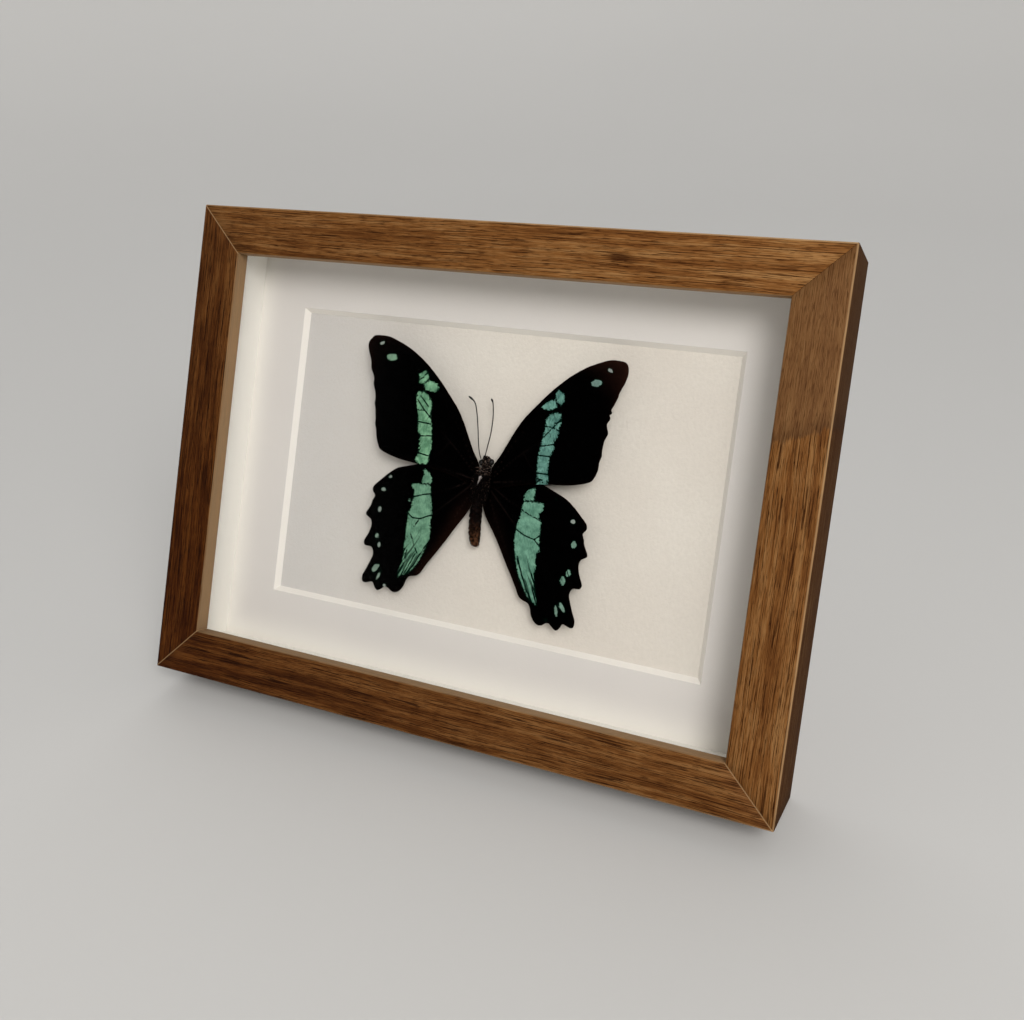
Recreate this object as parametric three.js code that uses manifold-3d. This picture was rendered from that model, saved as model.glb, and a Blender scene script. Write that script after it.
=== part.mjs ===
// A green-banded swallowtail butterfly, spread and dried, in a deep wooden box frame.
// The frame leans back on an easel strut. Sizes are in millimetres, +Z is up, +X is to the
// right and the glass faces -Y. Everything but the strut is drawn in the frame's own upright
// axes (X across, Y into the frame, Z up the frame) and leaned back as one group at the end.
import * as THREE from 'three';
import * as BufferGeometryUtils from 'three/addons/utils/BufferGeometryUtils.js';
import Module from 'manifold-3d';

const wasm = await Module();
wasm.setup();

// ---- Driving dimensions: the frame ----
const FRAME_WIDTH = 200;
const FRAME_HEIGHT = 150;
const FRAME_DEPTH = 30;
const RAIL_FACE = 14.5; // width of the moulding seen from the front
const LIP_DEPTH = 5.3; // front face to the back of the lip that holds the glass
const REBATE_WALL = 8.5; // thickness of the moulding behind the lip
const EDGE_EASE = 0.5; // chamfer on the long front edges
const LEAN = THREE.MathUtils.degToRad(18);
const GAP = 0.3; // air between pieces that touch

// ---- Driving dimensions: the stack inside the frame ----
const GLASS = 2;
const SPACER = 1.7;
const SPACER_DEPTH = 12.7;
const MAT = 1.6;
const MAT_BEVEL = 1.4; // how far the 45 degree cut runs in
const WINDOW_WIDTH = 145;
const WINDOW_HEIGHT = 94;
const BOARD = 3.6;
const PANEL = 3;

// ---- Driving dimensions: the butterfly ----
const AXIS_X = -0.85; // its long axis, measured from the middle of the frame
const WING_ROOT_Z = 76; // height of the wing roots above the foot of the frame
const BODY_DEPTH = 19.2; // front of the frame to the middle of the body
const BODY_BOTTOM_Z = 55;
const BODY_TILT = THREE.MathUtils.degToRad(2);
const WING = 0.35;
const FOREWING = { depth: 19.2, rise: 0.115 };
const HINDWING = { depth: 19.95, rise: 0.08 };
const ANTENNA_RADIUS = 0.22;

// ---- Driving dimensions: the back ----
const PLATE = 0.8; // sheet steel of the turn buttons and the strut hinge
const BUTTON_WIDTH = 7;
const BUTTON_LENGTH = 21;
const BUTTON_SPREAD = 60; // turn buttons either side of the middle
const SCREW = { shank: 0.9, head: 2, headHeight: 1.1, hole: 1.2 };
const KNUCKLE_RADIUS = 2;
const PIN_RADIUS = 0.8;
const LEAF_HALF = 6.2; // half the width of the strut's middle knuckle
const EAR_WIDTH = 5.5;
const HINGE_Z = 112;
const STRUT = 3;
const STRUT_TOP_WIDTH = 32;
const STRUT_FOOT_WIDTH = 48;
const STRUT_OPEN = THREE.MathUtils.degToRad(30);

// ---- The stack, front to back, worked out from the sizes above ----
const glassFront = LIP_DEPTH + GAP;
const spacerFront = glassFront + GLASS + GAP;
const matFront = spacerFront + SPACER_DEPTH + GAP;
const boardFront = matFront + MAT + GAP;
const panelFront = boardFront + BOARD + GAP;
const panelBack = panelFront + PANEL;
const plateFront = FRAME_DEPTH + GAP;
const plateBack = plateFront + PLATE;
const hingeY = plateBack + GAP + KNUCKLE_RADIUS;
const insideWidth = FRAME_WIDTH - 2 * (REBATE_WALL + GAP);
const insideHeight = FRAME_HEIGHT - 2 * (REBATE_WALL + GAP);

// ---- Materials ----
const paint = (color, roughness, metalness = 0) =>
  new THREE.MeshStandardMaterial({ color, roughness, metalness });
const MATERIALS = {
  walnut: () => paint(0x6b4527, 0.5),
  glass: () => paint(0xe8f2ee, 0.05),
  card: () => paint(0xefece4, 0.9),
  board: () => paint(0xdedad2, 0.95),
  hardboard: () => paint(0x3a2c22, 0.8),
  steel: () => paint(0xb9b4a6, 0.35, 1),
  wing: () => paint(0x120d0e, 0.75),
  body: () => paint(0x1c1310, 0.9),
};

// ---- Helpers ----
function mesh(name, geometry, material) {
  const piece = new THREE.Mesh(geometry, material());
  piece.name = name;
  return piece;
}

function at(piece, x, y, z) {
  piece.position.set(x, y, z);
  return piece;
}

function toSolid(geometry) {
  const bare = geometry.clone();
  bare.deleteAttribute('normal');
  bare.deleteAttribute('uv');
  const merged = BufferGeometryUtils.mergeVertices(bare, 1e-4);
  return new wasm.Manifold(new wasm.Mesh({
    numProp: 3,
    vertProperties: new Float32Array(merged.attributes.position.array),
    triVerts: new Uint32Array(merged.index.array),
  }));
}

function toGeometry(solid) {
  const { vertProperties, triVerts } = solid.getMesh();
  const geometry = new THREE.BufferGeometry();
  geometry.setAttribute('position', new THREE.BufferAttribute(vertProperties, 3));
  geometry.setIndex(new THREE.BufferAttribute(triVerts, 1));
  geometry.computeVertexNormals();
  return geometry;
}

function join(geometries) {
  const solids = geometries.map(toSolid);
  return toGeometry(solids.reduce((whole, next) => whole.add(next)));
}

function cut(geometry, cutters) {
  const solids = cutters.map(toSolid);
  return toGeometry(solids.reduce((rest, cutter) => rest.subtract(cutter), toSolid(geometry)));
}

function box(width, depth, height, x = 0, y = 0, z = 0) {
  return new THREE.BoxGeometry(width, depth, height).translate(x, y, z);
}

// A round bar that runs along Y from one depth to another.
function drill(radius, x, fromY, toY, z) {
  const length = toY - fromY;
  const bar = new THREE.CylinderGeometry(radius, radius, length, 20);
  return bar.translate(x, fromY + length / 2, z);
}

// A round bar along X, centred on the hinge axis or beside it.
function barAlongX(radius, length, x = 0) {
  return new THREE.CylinderGeometry(radius, radius, length, 24)
    .rotateZ(Math.PI / 2)
    .translate(x, 0, 0);
}

// ---- The frame ----
// Section of the moulding, as [distance in from the outer edge, depth behind the front].
const MOULDING = [
  [0, EDGE_EASE],
  [EDGE_EASE, 0],
  [RAIL_FACE - EDGE_EASE, 0],
  [RAIL_FACE, EDGE_EASE],
  [RAIL_FACE, LIP_DEPTH],
  [REBATE_WALL, LIP_DEPTH],
  [REBATE_WALL, FRAME_DEPTH],
  [0, FRAME_DEPTH],
];
const PILOT_DEPTH = 7;

// A rail lies along X with its outer edge on z = 0. Each point of the section is pulled back
// from the corner by its own inset, which cuts both ends at 45 degrees.
function railGeometry(length) {
  const section = new THREE.Shape(MOULDING.map(([inset, depth]) => new THREE.Vector2(inset, depth)));
  const geometry = new THREE.ExtrudeGeometry(section, { depth: 1, bevelEnabled: false });
  geometry.translate(0, 0, -0.5).rotateY(-Math.PI / 2);
  const point = geometry.attributes.position;
  const mitreGap = GAP / 2 * Math.SQRT2;
  for (let i = 0; i < point.count; i += 1) {
    const end = Math.sign(point.getX(i));
    point.setX(i, end * (length / 2 - point.getZ(i) - mitreGap));
  }
  return geometry;
}

// The long rails are drilled from the back for the turn buttons' screws.
function longRailGeometry() {
  const pilots = [-1, 1].map((side) => drill(
    SCREW.hole, side * BUTTON_SPREAD, FRAME_DEPTH - PILOT_DEPTH, FRAME_DEPTH + 1, REBATE_WALL / 2,
  ));
  return cut(railGeometry(FRAME_WIDTH), pilots);
}

function rails() {
  const bottom = mesh('rail_bottom', longRailGeometry(), MATERIALS.walnut);
  const top = at(mesh('rail_top', longRailGeometry(), MATERIALS.walnut), 0, 0, FRAME_HEIGHT);
  const left = mesh('rail_left', railGeometry(FRAME_HEIGHT), MATERIALS.walnut);
  const right = mesh('rail_right', railGeometry(FRAME_HEIGHT), MATERIALS.walnut);
  top.rotation.y = Math.PI;
  left.rotation.y = Math.PI / 2;
  right.rotation.y = -Math.PI / 2;
  at(left, -FRAME_WIDTH / 2, 0, FRAME_HEIGHT / 2);
  at(right, FRAME_WIDTH / 2, 0, FRAME_HEIGHT / 2);
  return [top, bottom, left, right];
}

// ---- The stack inside the frame ----
function pane(name, front, thickness, material, holes = []) {
  const blank = box(insideWidth, thickness, insideHeight);
  const geometry = holes.length ? cut(blank, holes) : blank;
  return at(mesh(name, geometry, material), 0, front + thickness / 2, FRAME_HEIGHT / 2);
}

// Four strips of white board line the rebate and hold the mat away from the glass.
function spacers() {
  const middleY = spacerFront + SPACER_DEPTH / 2;
  const middleZ = FRAME_HEIGHT / 2;
  const edgeX = (insideWidth - SPACER) / 2;
  const edgeZ = (insideHeight - SPACER) / 2;
  const sideHeight = insideHeight - 2 * (SPACER + GAP);
  const strip = (name, width, height, x, z) =>
    at(mesh(name, box(width, SPACER_DEPTH, height), MATERIALS.card), x, middleY, middleZ + z);
  return [
    strip('spacer_top', insideWidth, SPACER, 0, edgeZ),
    strip('spacer_bottom', insideWidth, SPACER, 0, -edgeZ),
    strip('spacer_left', SPACER, sideHeight, -edgeX, 0),
    strip('spacer_right', SPACER, sideHeight, edgeX, 0),
  ];
}

// The window is wider in front than behind, so its four edges are cut at a slant.
function mat() {
  const overrun = 1;
  const cutter = box(1, MAT + 2 * overrun, 1);
  const point = cutter.attributes.position;
  for (let i = 0; i < point.count; i += 1) {
    const inset = MAT_BEVEL * (point.getY(i) / MAT + 0.5);
    point.setX(i, Math.sign(point.getX(i)) * (WINDOW_WIDTH / 2 - inset));
    point.setZ(i, Math.sign(point.getZ(i)) * (WINDOW_HEIGHT / 2 - inset));
  }
  return pane('mat', matFront, MAT, MATERIALS.card, [cutter]);
}

// ---- The butterfly ----
// Outlines are [out from the body's axis, up from the wing root]. The right forewing has
// lost small chips of its outer edge, so the two forewings differ there.
const COSTA = [
  [3.4, -2.4], [3.3, 1.2], [3.3, 4.7], [5.5, 9.6], [10.2, 18.6], [14.1, 23.5], [18.9, 28.8],
  [23.8, 33.2], [29, 36.7], [33, 38.5], [36.5, 39.6], [39.3, 39.5], [41.6, 38.7],
];
const OUTER_EDGE = {
  left: [
    [42.8, 36.8], [42.5, 34.6], [41.5, 32.4], [41, 29.6], [39.8, 26.3], [39.3, 23.6],
    [38.4, 19.1], [38, 14.8], [37.3, 11.4], [36.9, 8.3],
  ],
  right: [
    [42.2, 36.8], [41.8, 34.3], [40.8, 31.9], [39.7, 28.9], [39.1, 26.9], [38.4, 25.5],
    [38.5, 24.4], [37.8, 23.7], [38.3, 22.8], [37.7, 21.3], [38.1, 19.1], [37.5, 16.6],
    [37.3, 14.1], [36.8, 10.7], [36.7, 7.6],
  ],
};
const INNER_EDGE = [[35.7, 5.2], [34.2, 3.9], [31.6, 2.9], [27.8, 2.1], [24, 1.7], [15, 0.4], [8, -1.2]];
const HINDWING_OUTLINE = [
  [3.4, 0.6], [7, 2.6], [13, 3.2], [18, 2.2],
  [22, 0.8], [25.4, -0.5], [28.5, -1.9], [31, -3.8], [33.2, -5.8], [35.2, -7.7],
  [36, -9.2], [35, -10.7], [35.3, -12.8], [36.6, -15.2], [37, -17.1], [35.5, -18.4],
  [35, -20.2], [35.6, -22.9], [36.7, -25.6], [36, -26.8], [34, -27.3], [33.2, -29.2],
  [33.8, -31.4], [35, -34.4], [36, -36.8], [35.6, -38.4], [33.9, -38.4], [32.3, -38.2],
  [31.2, -39.9], [30.2, -40.5], [29, -39.8], [27.7, -38.7], [26.8, -38.9], [25.6, -39.8],
  [24.2, -40], [22.8, -39.2], [21.6, -37.4], [21, -35.5], [20.1, -34.2], [18.2, -33.7],
  [16.9, -32.9], [15.6, -30.7], [13.8, -27.8], [11.3, -24], [8.8, -19.9], [6.5, -15.7],
  [4.4, -11.6], [3.5, -8.2], [3.4, -3.6],
];
// How each wing was set: sideways and upwards from where its twin's mirror image would lie.
const SET = {
  forewing: { left: [-0.5, 0], right: [0.5, 0] },
  hindwing: { left: [0.45, 0.35], right: [-0.45, -0.35] },
};

// A wing is a thin flat sheet that rises towards the glass as it goes out from the body.
function wing(name, side, outline, [shiftOut, shiftUp], { depth, rise }) {
  const corners = outline.map(([out, up]) => new THREE.Vector3(side * (out + shiftOut), up + shiftUp, 0));
  const curve = new THREE.CatmullRomCurve3(corners, true, 'centripetal');
  const edge = curve.getPoints(corners.length * 3).slice(0, -1);
  const shape = new THREE.Shape(edge.map(({ x, y }) => new THREE.Vector2(x, y)));
  const geometry = new THREE.ExtrudeGeometry(shape, { depth: WING, bevelEnabled: false });
  geometry.rotateX(Math.PI / 2);
  const point = geometry.attributes.position;
  for (let i = 0; i < point.count; i += 1) {
    point.setY(i, point.getY(i) - rise * Math.abs(point.getX(i)));
  }
  return at(mesh(name, geometry, MATERIALS.wing), AXIS_X, depth, WING_ROOT_Z);
}

function wings() {
  return Object.entries({ left: -1, right: 1 }).flatMap(([hand, side]) => [
    wing(`forewing_${hand}`, side, [...COSTA, ...OUTER_EDGE[hand], ...INNER_EDGE],
      SET.forewing[hand], FOREWING),
    wing(`hindwing_${hand}`, side, HINDWING_OUTLINE, SET.hindwing[hand], HINDWING),
  ]);
}

// Half-width of the body against height above the tip of the tail.
const BODY_PROFILE = [
  [0, 0], [1, 0.4], [1.6, 1.6], [1.85, 4.5], [1.85, 9], [1.55, 12.5], [1.3, 15], [1.7, 16.6],
  [2.1, 18.6], [2.2, 21], [2, 23.4], [1.3, 25], [1.35, 26.2], [1.35, 27.2], [0.9, 28], [0, 28.3],
];

function body() {
  const profile = BODY_PROFILE.map(([radius, height]) => new THREE.Vector2(radius, height));
  const geometry = new THREE.LatheGeometry(profile, 20).rotateX(Math.PI / 2);
  const piece = mesh('butterfly_body', geometry, MATERIALS.body);
  piece.rotation.y = BODY_TILT;
  return at(piece, AXIS_X - 0.95, BODY_DEPTH, BODY_BOTTOM_Z);
}

// Antennae as [across, towards the glass, up], from the top of the head.
const ANTENNAE = {
  left: [[-0.9, 0.2, 7.9], [-2, 0.5, 9.6], [-3.4, 0.8, 15], [-4.4, 1, 19.6], [-5.5, 1.1, 22.6], [-7.7, 1.2, 24.2]],
  right: [[0.5, 0.2, 8], [0.5, 0.5, 10], [1, 0.8, 14.6], [1.1, 1, 19], [0.6, 1.1, 22.8], [-0.1, 1.2, 24.3]],
};

function antennae() {
  return Object.entries(ANTENNAE).map(([hand, route]) => {
    const path = new THREE.CatmullRomCurve3(route.map(([x, y, z]) => new THREE.Vector3(x, -y, z)));
    const section = new THREE.Shape().absarc(0, 0, ANTENNA_RADIUS, 0, 2 * Math.PI);
    const geometry = new THREE.ExtrudeGeometry(section, { steps: 14, curveSegments: 6, extrudePath: path });
    return at(mesh(`antenna_${hand}`, geometry, MATERIALS.body), AXIS_X, BODY_DEPTH, WING_ROOT_Z);
  });
}

// A slip of card lifts the thorax off the board.
function mountingPad() {
  const front = BODY_DEPTH + 2.5;
  const thickness = boardFront - GAP - front;
  const pad = mesh('mounting_pad', box(3.4, thickness, 6.5), MATERIALS.card);
  return at(pad, AXIS_X, front + thickness / 2, WING_ROOT_Z);
}

// ---- Fastenings on the back ----
// A screw stands along +Y with the underside of its head on y = 0.
function screw(name, length, x, y, z) {
  const { shank, head, headHeight } = SCREW;
  const profile = [
    [0, -length], [shank, shank - length], [shank, 0], [head, 0], [head, headHeight * 0.35],
    [head * 0.75, headHeight * 0.8], [head * 0.3, headHeight], [0, headHeight],
  ];
  const turned = new THREE.LatheGeometry(profile.map(([r, h]) => new THREE.Vector2(r, h)), 16);
  const slot = box(head * 3, headHeight, 0.5, 0, headHeight, 0);
  return at(mesh(name, cut(turned, [slot]), MATERIALS.steel), x, y, z);
}

// A turn button: a strip with round ends, drilled near one of them, that lies along +Z.
function buttonGeometry() {
  const radius = BUTTON_WIDTH / 2;
  const reach = BUTTON_LENGTH - BUTTON_WIDTH;
  const outline = new THREE.Shape();
  outline.absarc(0, 0, radius, Math.PI, 2 * Math.PI);
  outline.absarc(0, reach, radius, 0, Math.PI);
  outline.holes.push(new THREE.Path().absarc(0, 0, SCREW.hole, 0, 2 * Math.PI, true));
  const geometry = new THREE.ExtrudeGeometry(outline, { depth: PLATE, curveSegments: 10, bevelEnabled: false });
  return geometry.rotateX(Math.PI / 2).translate(0, PLATE, 0);
}

function turnButtons() {
  const pieces = [];
  [['bottom', REBATE_WALL / 2, 0], ['top', FRAME_HEIGHT - REBATE_WALL / 2, Math.PI]].forEach(([row, z, turn]) => {
    [['left', -1], ['right', 1]].forEach(([hand, side]) => {
      const x = side * BUTTON_SPREAD;
      const button = mesh(`turn_button_${row}_${hand}`, buttonGeometry(), MATERIALS.steel);
      button.rotation.y = turn;
      pieces.push(at(button, x, plateFront, z));
      pieces.push(screw(`button_screw_${row}_${hand}`, PILOT_DEPTH - 1, x, plateBack + GAP, z));
    });
  });
  return pieces;
}

// ---- The easel strut and its hinge, drawn round the hinge's axis ----
const BRACKET = { top: 14, bottom: -1.5, screwX: 8, screwZ: 10 };
const LEAF = { front: 1.2, length: 17, half: 9, screwX: 5, screwZ: -11 };
const STRUT_BACK = LEAF.front - GAP;
const SHORT_SCREW = 3.4;
const earX = LEAF_HALF + GAP + EAR_WIDTH / 2;

function bracketGeometry() {
  const front = plateFront - hingeY;
  const back = plateBack - hingeY;
  const plateHeight = BRACKET.top - BRACKET.bottom;
  const plate = box(
    2 * (earX + EAR_WIDTH / 2), PLATE, plateHeight, 0, front + PLATE / 2, BRACKET.bottom + plateHeight / 2,
  );
  const ears = [-1, 1].flatMap((side) => [
    barAlongX(KNUCKLE_RADIUS, EAR_WIDTH, side * earX),
    box(EAR_WIDTH, -front - 0.1, 2.4, side * earX, front / 2 + 0.05, 0),
  ]);
  const holes = [-1, 1].map((side) => drill(
    SCREW.hole, side * BRACKET.screwX, front - 1, back + 1, BRACKET.screwZ,
  ));
  const bore = barAlongX(PIN_RADIUS + GAP, 4 * earX);
  return cut(join([plate, ...ears]), [bore, ...holes]);
}

// The leaf's heel stands on the bracket's plate when the strut is fully open, and stops it.
function leafGeometry() {
  const heel = box(2 * LEAF_HALF, PLATE, 7, 0, -KNUCKLE_RADIUS + PLATE / 2, 3.5).rotateX(-STRUT_OPEN);
  const neck = box(2 * LEAF_HALF, PLATE, 5, 0, LEAF.front + PLATE / 2, -2.5);
  const tail = LEAF.length - 3;
  const plate = box(2 * LEAF.half, PLATE, tail, 0, LEAF.front + PLATE / 2, -3 - tail / 2);
  const holes = [-1, 1].map((side) => drill(
    SCREW.hole, side * LEAF.screwX, LEAF.front - 1, LEAF.front + PLATE + 1, LEAF.screwZ,
  ));
  const knuckle = barAlongX(KNUCKLE_RADIUS, 2 * LEAF_HALF);
  const bore = barAlongX(PIN_RADIUS + GAP, 4 * earX);
  return cut(join([knuckle, heel, neck, plate]), [bore, ...holes]);
}

function pinGeometry() {
  const end = earX + EAR_WIDTH / 2 + GAP;
  const heads = [-1, 1].map((side) => barAlongX(PIN_RADIUS * 1.8, PLATE, side * (end + PLATE / 2)));
  return join([barAlongX(PIN_RADIUS, 2 * end + PLATE), ...heads]);
}

// The strut tapers towards the hinge, and its foot is cut to lie flat on the table.
function strutGeometry() {
  const hingeHeight = HINGE_Z * Math.cos(LEAN) - (hingeY - FRAME_DEPTH) * Math.sin(LEAN);
  const stand = STRUT_OPEN - LEAN;
  const length = hingeHeight / Math.cos(stand) + 3 * STRUT;
  const top = -3;
  const corner = 4;
  const halfTop = STRUT_TOP_WIDTH / 2;
  const outline = new THREE.Shape();
  outline.moveTo(-STRUT_FOOT_WIDTH / 2, -length);
  outline.lineTo(STRUT_FOOT_WIDTH / 2, -length);
  outline.lineTo(halfTop, top - corner);
  outline.quadraticCurveTo(halfTop, top, halfTop - corner, top);
  outline.lineTo(corner - halfTop, top);
  outline.quadraticCurveTo(-halfTop, top, -halfTop, top - corner);
  const blank = new THREE.ExtrudeGeometry(outline, { depth: STRUT, curveSegments: 6, bevelEnabled: false });
  blank.rotateX(Math.PI / 2).translate(0, STRUT_BACK, 0);
  const table = box(2 * length, 2 * length, length, 0, 0, -hingeHeight - length / 2).rotateX(-stand);
  const holes = [-1, 1].map((side) => drill(
    SCREW.hole, side * LEAF.screwX, STRUT_BACK - STRUT + GAP, STRUT_BACK + 1, LEAF.screwZ,
  ));
  return cut(blank, [table, ...holes]);
}

function easel() {
  const hinge = new THREE.Group();
  const swung = new THREE.Group();
  swung.rotation.x = STRUT_OPEN;
  hinge.add(
    mesh('hinge_bracket', bracketGeometry(), MATERIALS.steel),
    mesh('hinge_pin', pinGeometry(), MATERIALS.steel),
    swung,
  );
  swung.add(
    mesh('strut', strutGeometry(), MATERIALS.hardboard),
    mesh('hinge_leaf', leafGeometry(), MATERIALS.steel),
  );
  [['left', -1], ['right', 1]].forEach(([hand, side]) => {
    const plateSide = plateBack - hingeY + GAP;
    const leafSide = LEAF.front + PLATE + GAP;
    hinge.add(screw(`bracket_screw_${hand}`, SHORT_SCREW, side * BRACKET.screwX, plateSide, BRACKET.screwZ));
    swung.add(screw(`leaf_screw_${hand}`, SHORT_SCREW, side * LEAF.screwX, leafSide, LEAF.screwZ));
  });
  hinge.position.set(0, hingeY, HINGE_Z);
  return hinge;
}

// The back panel is drilled for the two screws of the hinge bracket.
function backPanel() {
  const z = HINGE_Z + BRACKET.screwZ - FRAME_HEIGHT / 2;
  const holes = [-1, 1].map((side) => drill(
    SCREW.hole, side * BRACKET.screwX, GAP - PANEL / 2, PANEL / 2 + 1, z,
  ));
  return pane('back_panel', panelFront, PANEL, MATERIALS.hardboard, holes);
}

// ---- Assembly ----
const upright = new THREE.Group();
upright.add(
  ...rails(),
  pane('glass', glassFront, GLASS, MATERIALS.glass),
  ...spacers(),
  mat(),
  pane('mount_board', boardFront, BOARD, MATERIALS.board),
  backPanel(),
  mountingPad(),
  body(),
  ...wings(),
  ...antennae(),
  ...turnButtons(),
  easel(),
);

// Leaned back, the frame stands on its back bottom edge and on the foot of the strut. The
// origin is on the table, in the middle of the ground that the whole thing covers.
upright.rotation.x = -LEAN;
upright.position.z = FRAME_DEPTH * Math.sin(LEAN);
const standing = new THREE.Group();
standing.add(upright);
standing.updateMatrixWorld(true);
const ground = new THREE.Box3().setFromObject(standing, true);
standing.position.y = -(ground.min.y + ground.max.y) / 2;

export default standing;
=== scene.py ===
# %% [markdown]
# # A mounted butterfly in a deep box frame
# The real thing is a dried swallowtail, spread over an off-white board inside a wooden box
# frame that leans back on a strut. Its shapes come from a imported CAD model. This lesson loads
# that model as it stands and gives each piece its looks: some CAD pieces only get a material,
# and others, such as the wings, are built again in detail in the same place.

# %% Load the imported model
import math

import bmesh
import bpy
import numpy as np
from mathutils import Euler, Matrix, Vector, noise
from mathutils.geometry import delaunay_2d_cdt


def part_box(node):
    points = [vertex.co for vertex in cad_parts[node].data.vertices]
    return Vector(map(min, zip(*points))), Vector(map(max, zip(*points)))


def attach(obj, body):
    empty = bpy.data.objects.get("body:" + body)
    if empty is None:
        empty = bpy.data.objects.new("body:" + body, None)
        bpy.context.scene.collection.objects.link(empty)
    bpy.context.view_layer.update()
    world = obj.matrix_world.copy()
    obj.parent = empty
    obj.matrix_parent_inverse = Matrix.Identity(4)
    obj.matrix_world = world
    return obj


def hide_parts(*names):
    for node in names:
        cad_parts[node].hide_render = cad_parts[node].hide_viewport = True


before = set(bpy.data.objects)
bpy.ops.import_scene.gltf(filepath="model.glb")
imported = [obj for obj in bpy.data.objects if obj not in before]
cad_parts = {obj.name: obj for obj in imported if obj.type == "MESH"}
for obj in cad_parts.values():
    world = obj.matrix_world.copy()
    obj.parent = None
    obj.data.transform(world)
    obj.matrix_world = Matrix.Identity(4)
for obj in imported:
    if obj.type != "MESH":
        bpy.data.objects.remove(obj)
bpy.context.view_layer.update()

rng = np.random.default_rng(11)

# %% [markdown]
# ## One set of axes for everything
# The frame leans back by 18 degrees, which would make every number awkward. So the pieces are
# drawn upright and in millimetres: X across the frame, Y into it from the front, Z up it. One
# matrix then stands them where the CAD model stands, in metres. Its foot is found from the
# bottom rail's box, so the two can't drift apart.

# %% Upright millimetres to the leaning frame
MM = 0.001
LEAN = math.radians(18)
FRAME_WIDTH = 200
FRAME_HEIGHT = 150
FRAME_DEPTH = 30
ARRIS = 0.5

foot_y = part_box("rail_bottom")[0].y - ARRIS * MM * math.sin(LEAN)
foot = Matrix.Translation((0, foot_y, FRAME_DEPTH * MM * math.sin(LEAN)))
stand = foot @ Matrix.Rotation(-LEAN, 4, "X") @ Matrix.Diagonal((MM, MM, MM, 1))
upright = stand.inverted()
top_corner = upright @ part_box("rail_top")[1]
print("Top of the frame in upright millimetres:", [round(v, 2) for v in top_corner])


def to_row(points):
    """Stands an array of upright millimetre points in the row frame, in metres."""
    matrix = np.array(stand)
    return np.asarray(points, float) @ matrix[:3, :3].T + matrix[:3, 3]


# %% [markdown]
# ## Writing materials as sums
# A material in Blender is a graph of nodes, and adding each by hand hides the idea behind a
# page of wiring. So two small classes do the wiring. A Wire is a socket that gives a value, and
# arithmetic on it adds Math nodes. A Finish is a material, and its method node adds a node of
# any other kind.

# %% A socket that can be added and multiplied
class Wire:
    """A socket that gives a value. Arithmetic written on it adds Math nodes."""

    def __init__(self, finish, socket):
        self.finish = finish
        self.socket = socket

    def maths(self, operation, *values):
        return self.finish.node("ShaderNodeMath", {"operation": operation}, dict(enumerate(values)))

    def __add__(self, other):
        return self.maths("ADD", self, other)

    def __sub__(self, other):
        return self.maths("SUBTRACT", self, other)

    def __rsub__(self, other):
        return self.maths("SUBTRACT", other, self)

    def __mul__(self, other):
        return self.maths("MULTIPLY", self, other)

    __radd__ = __add__
    __rmul__ = __mul__

    def __abs__(self):
        return self.maths("ABSOLUTE", self)

    def least(self, other):
        return self.maths("MINIMUM", self, other)

    def most(self, other):
        return self.maths("MAXIMUM", self, other)

    def rise(self, low, high):
        """0 below low, 1 above high, and a smooth climb between. It falls if high is below low."""
        limits = {"Value": self, "From Min": low, "From Max": high}
        return self.finish.node("ShaderNodeMapRange", {"interpolation_type": "SMOOTHSTEP"}, limits)


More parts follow.
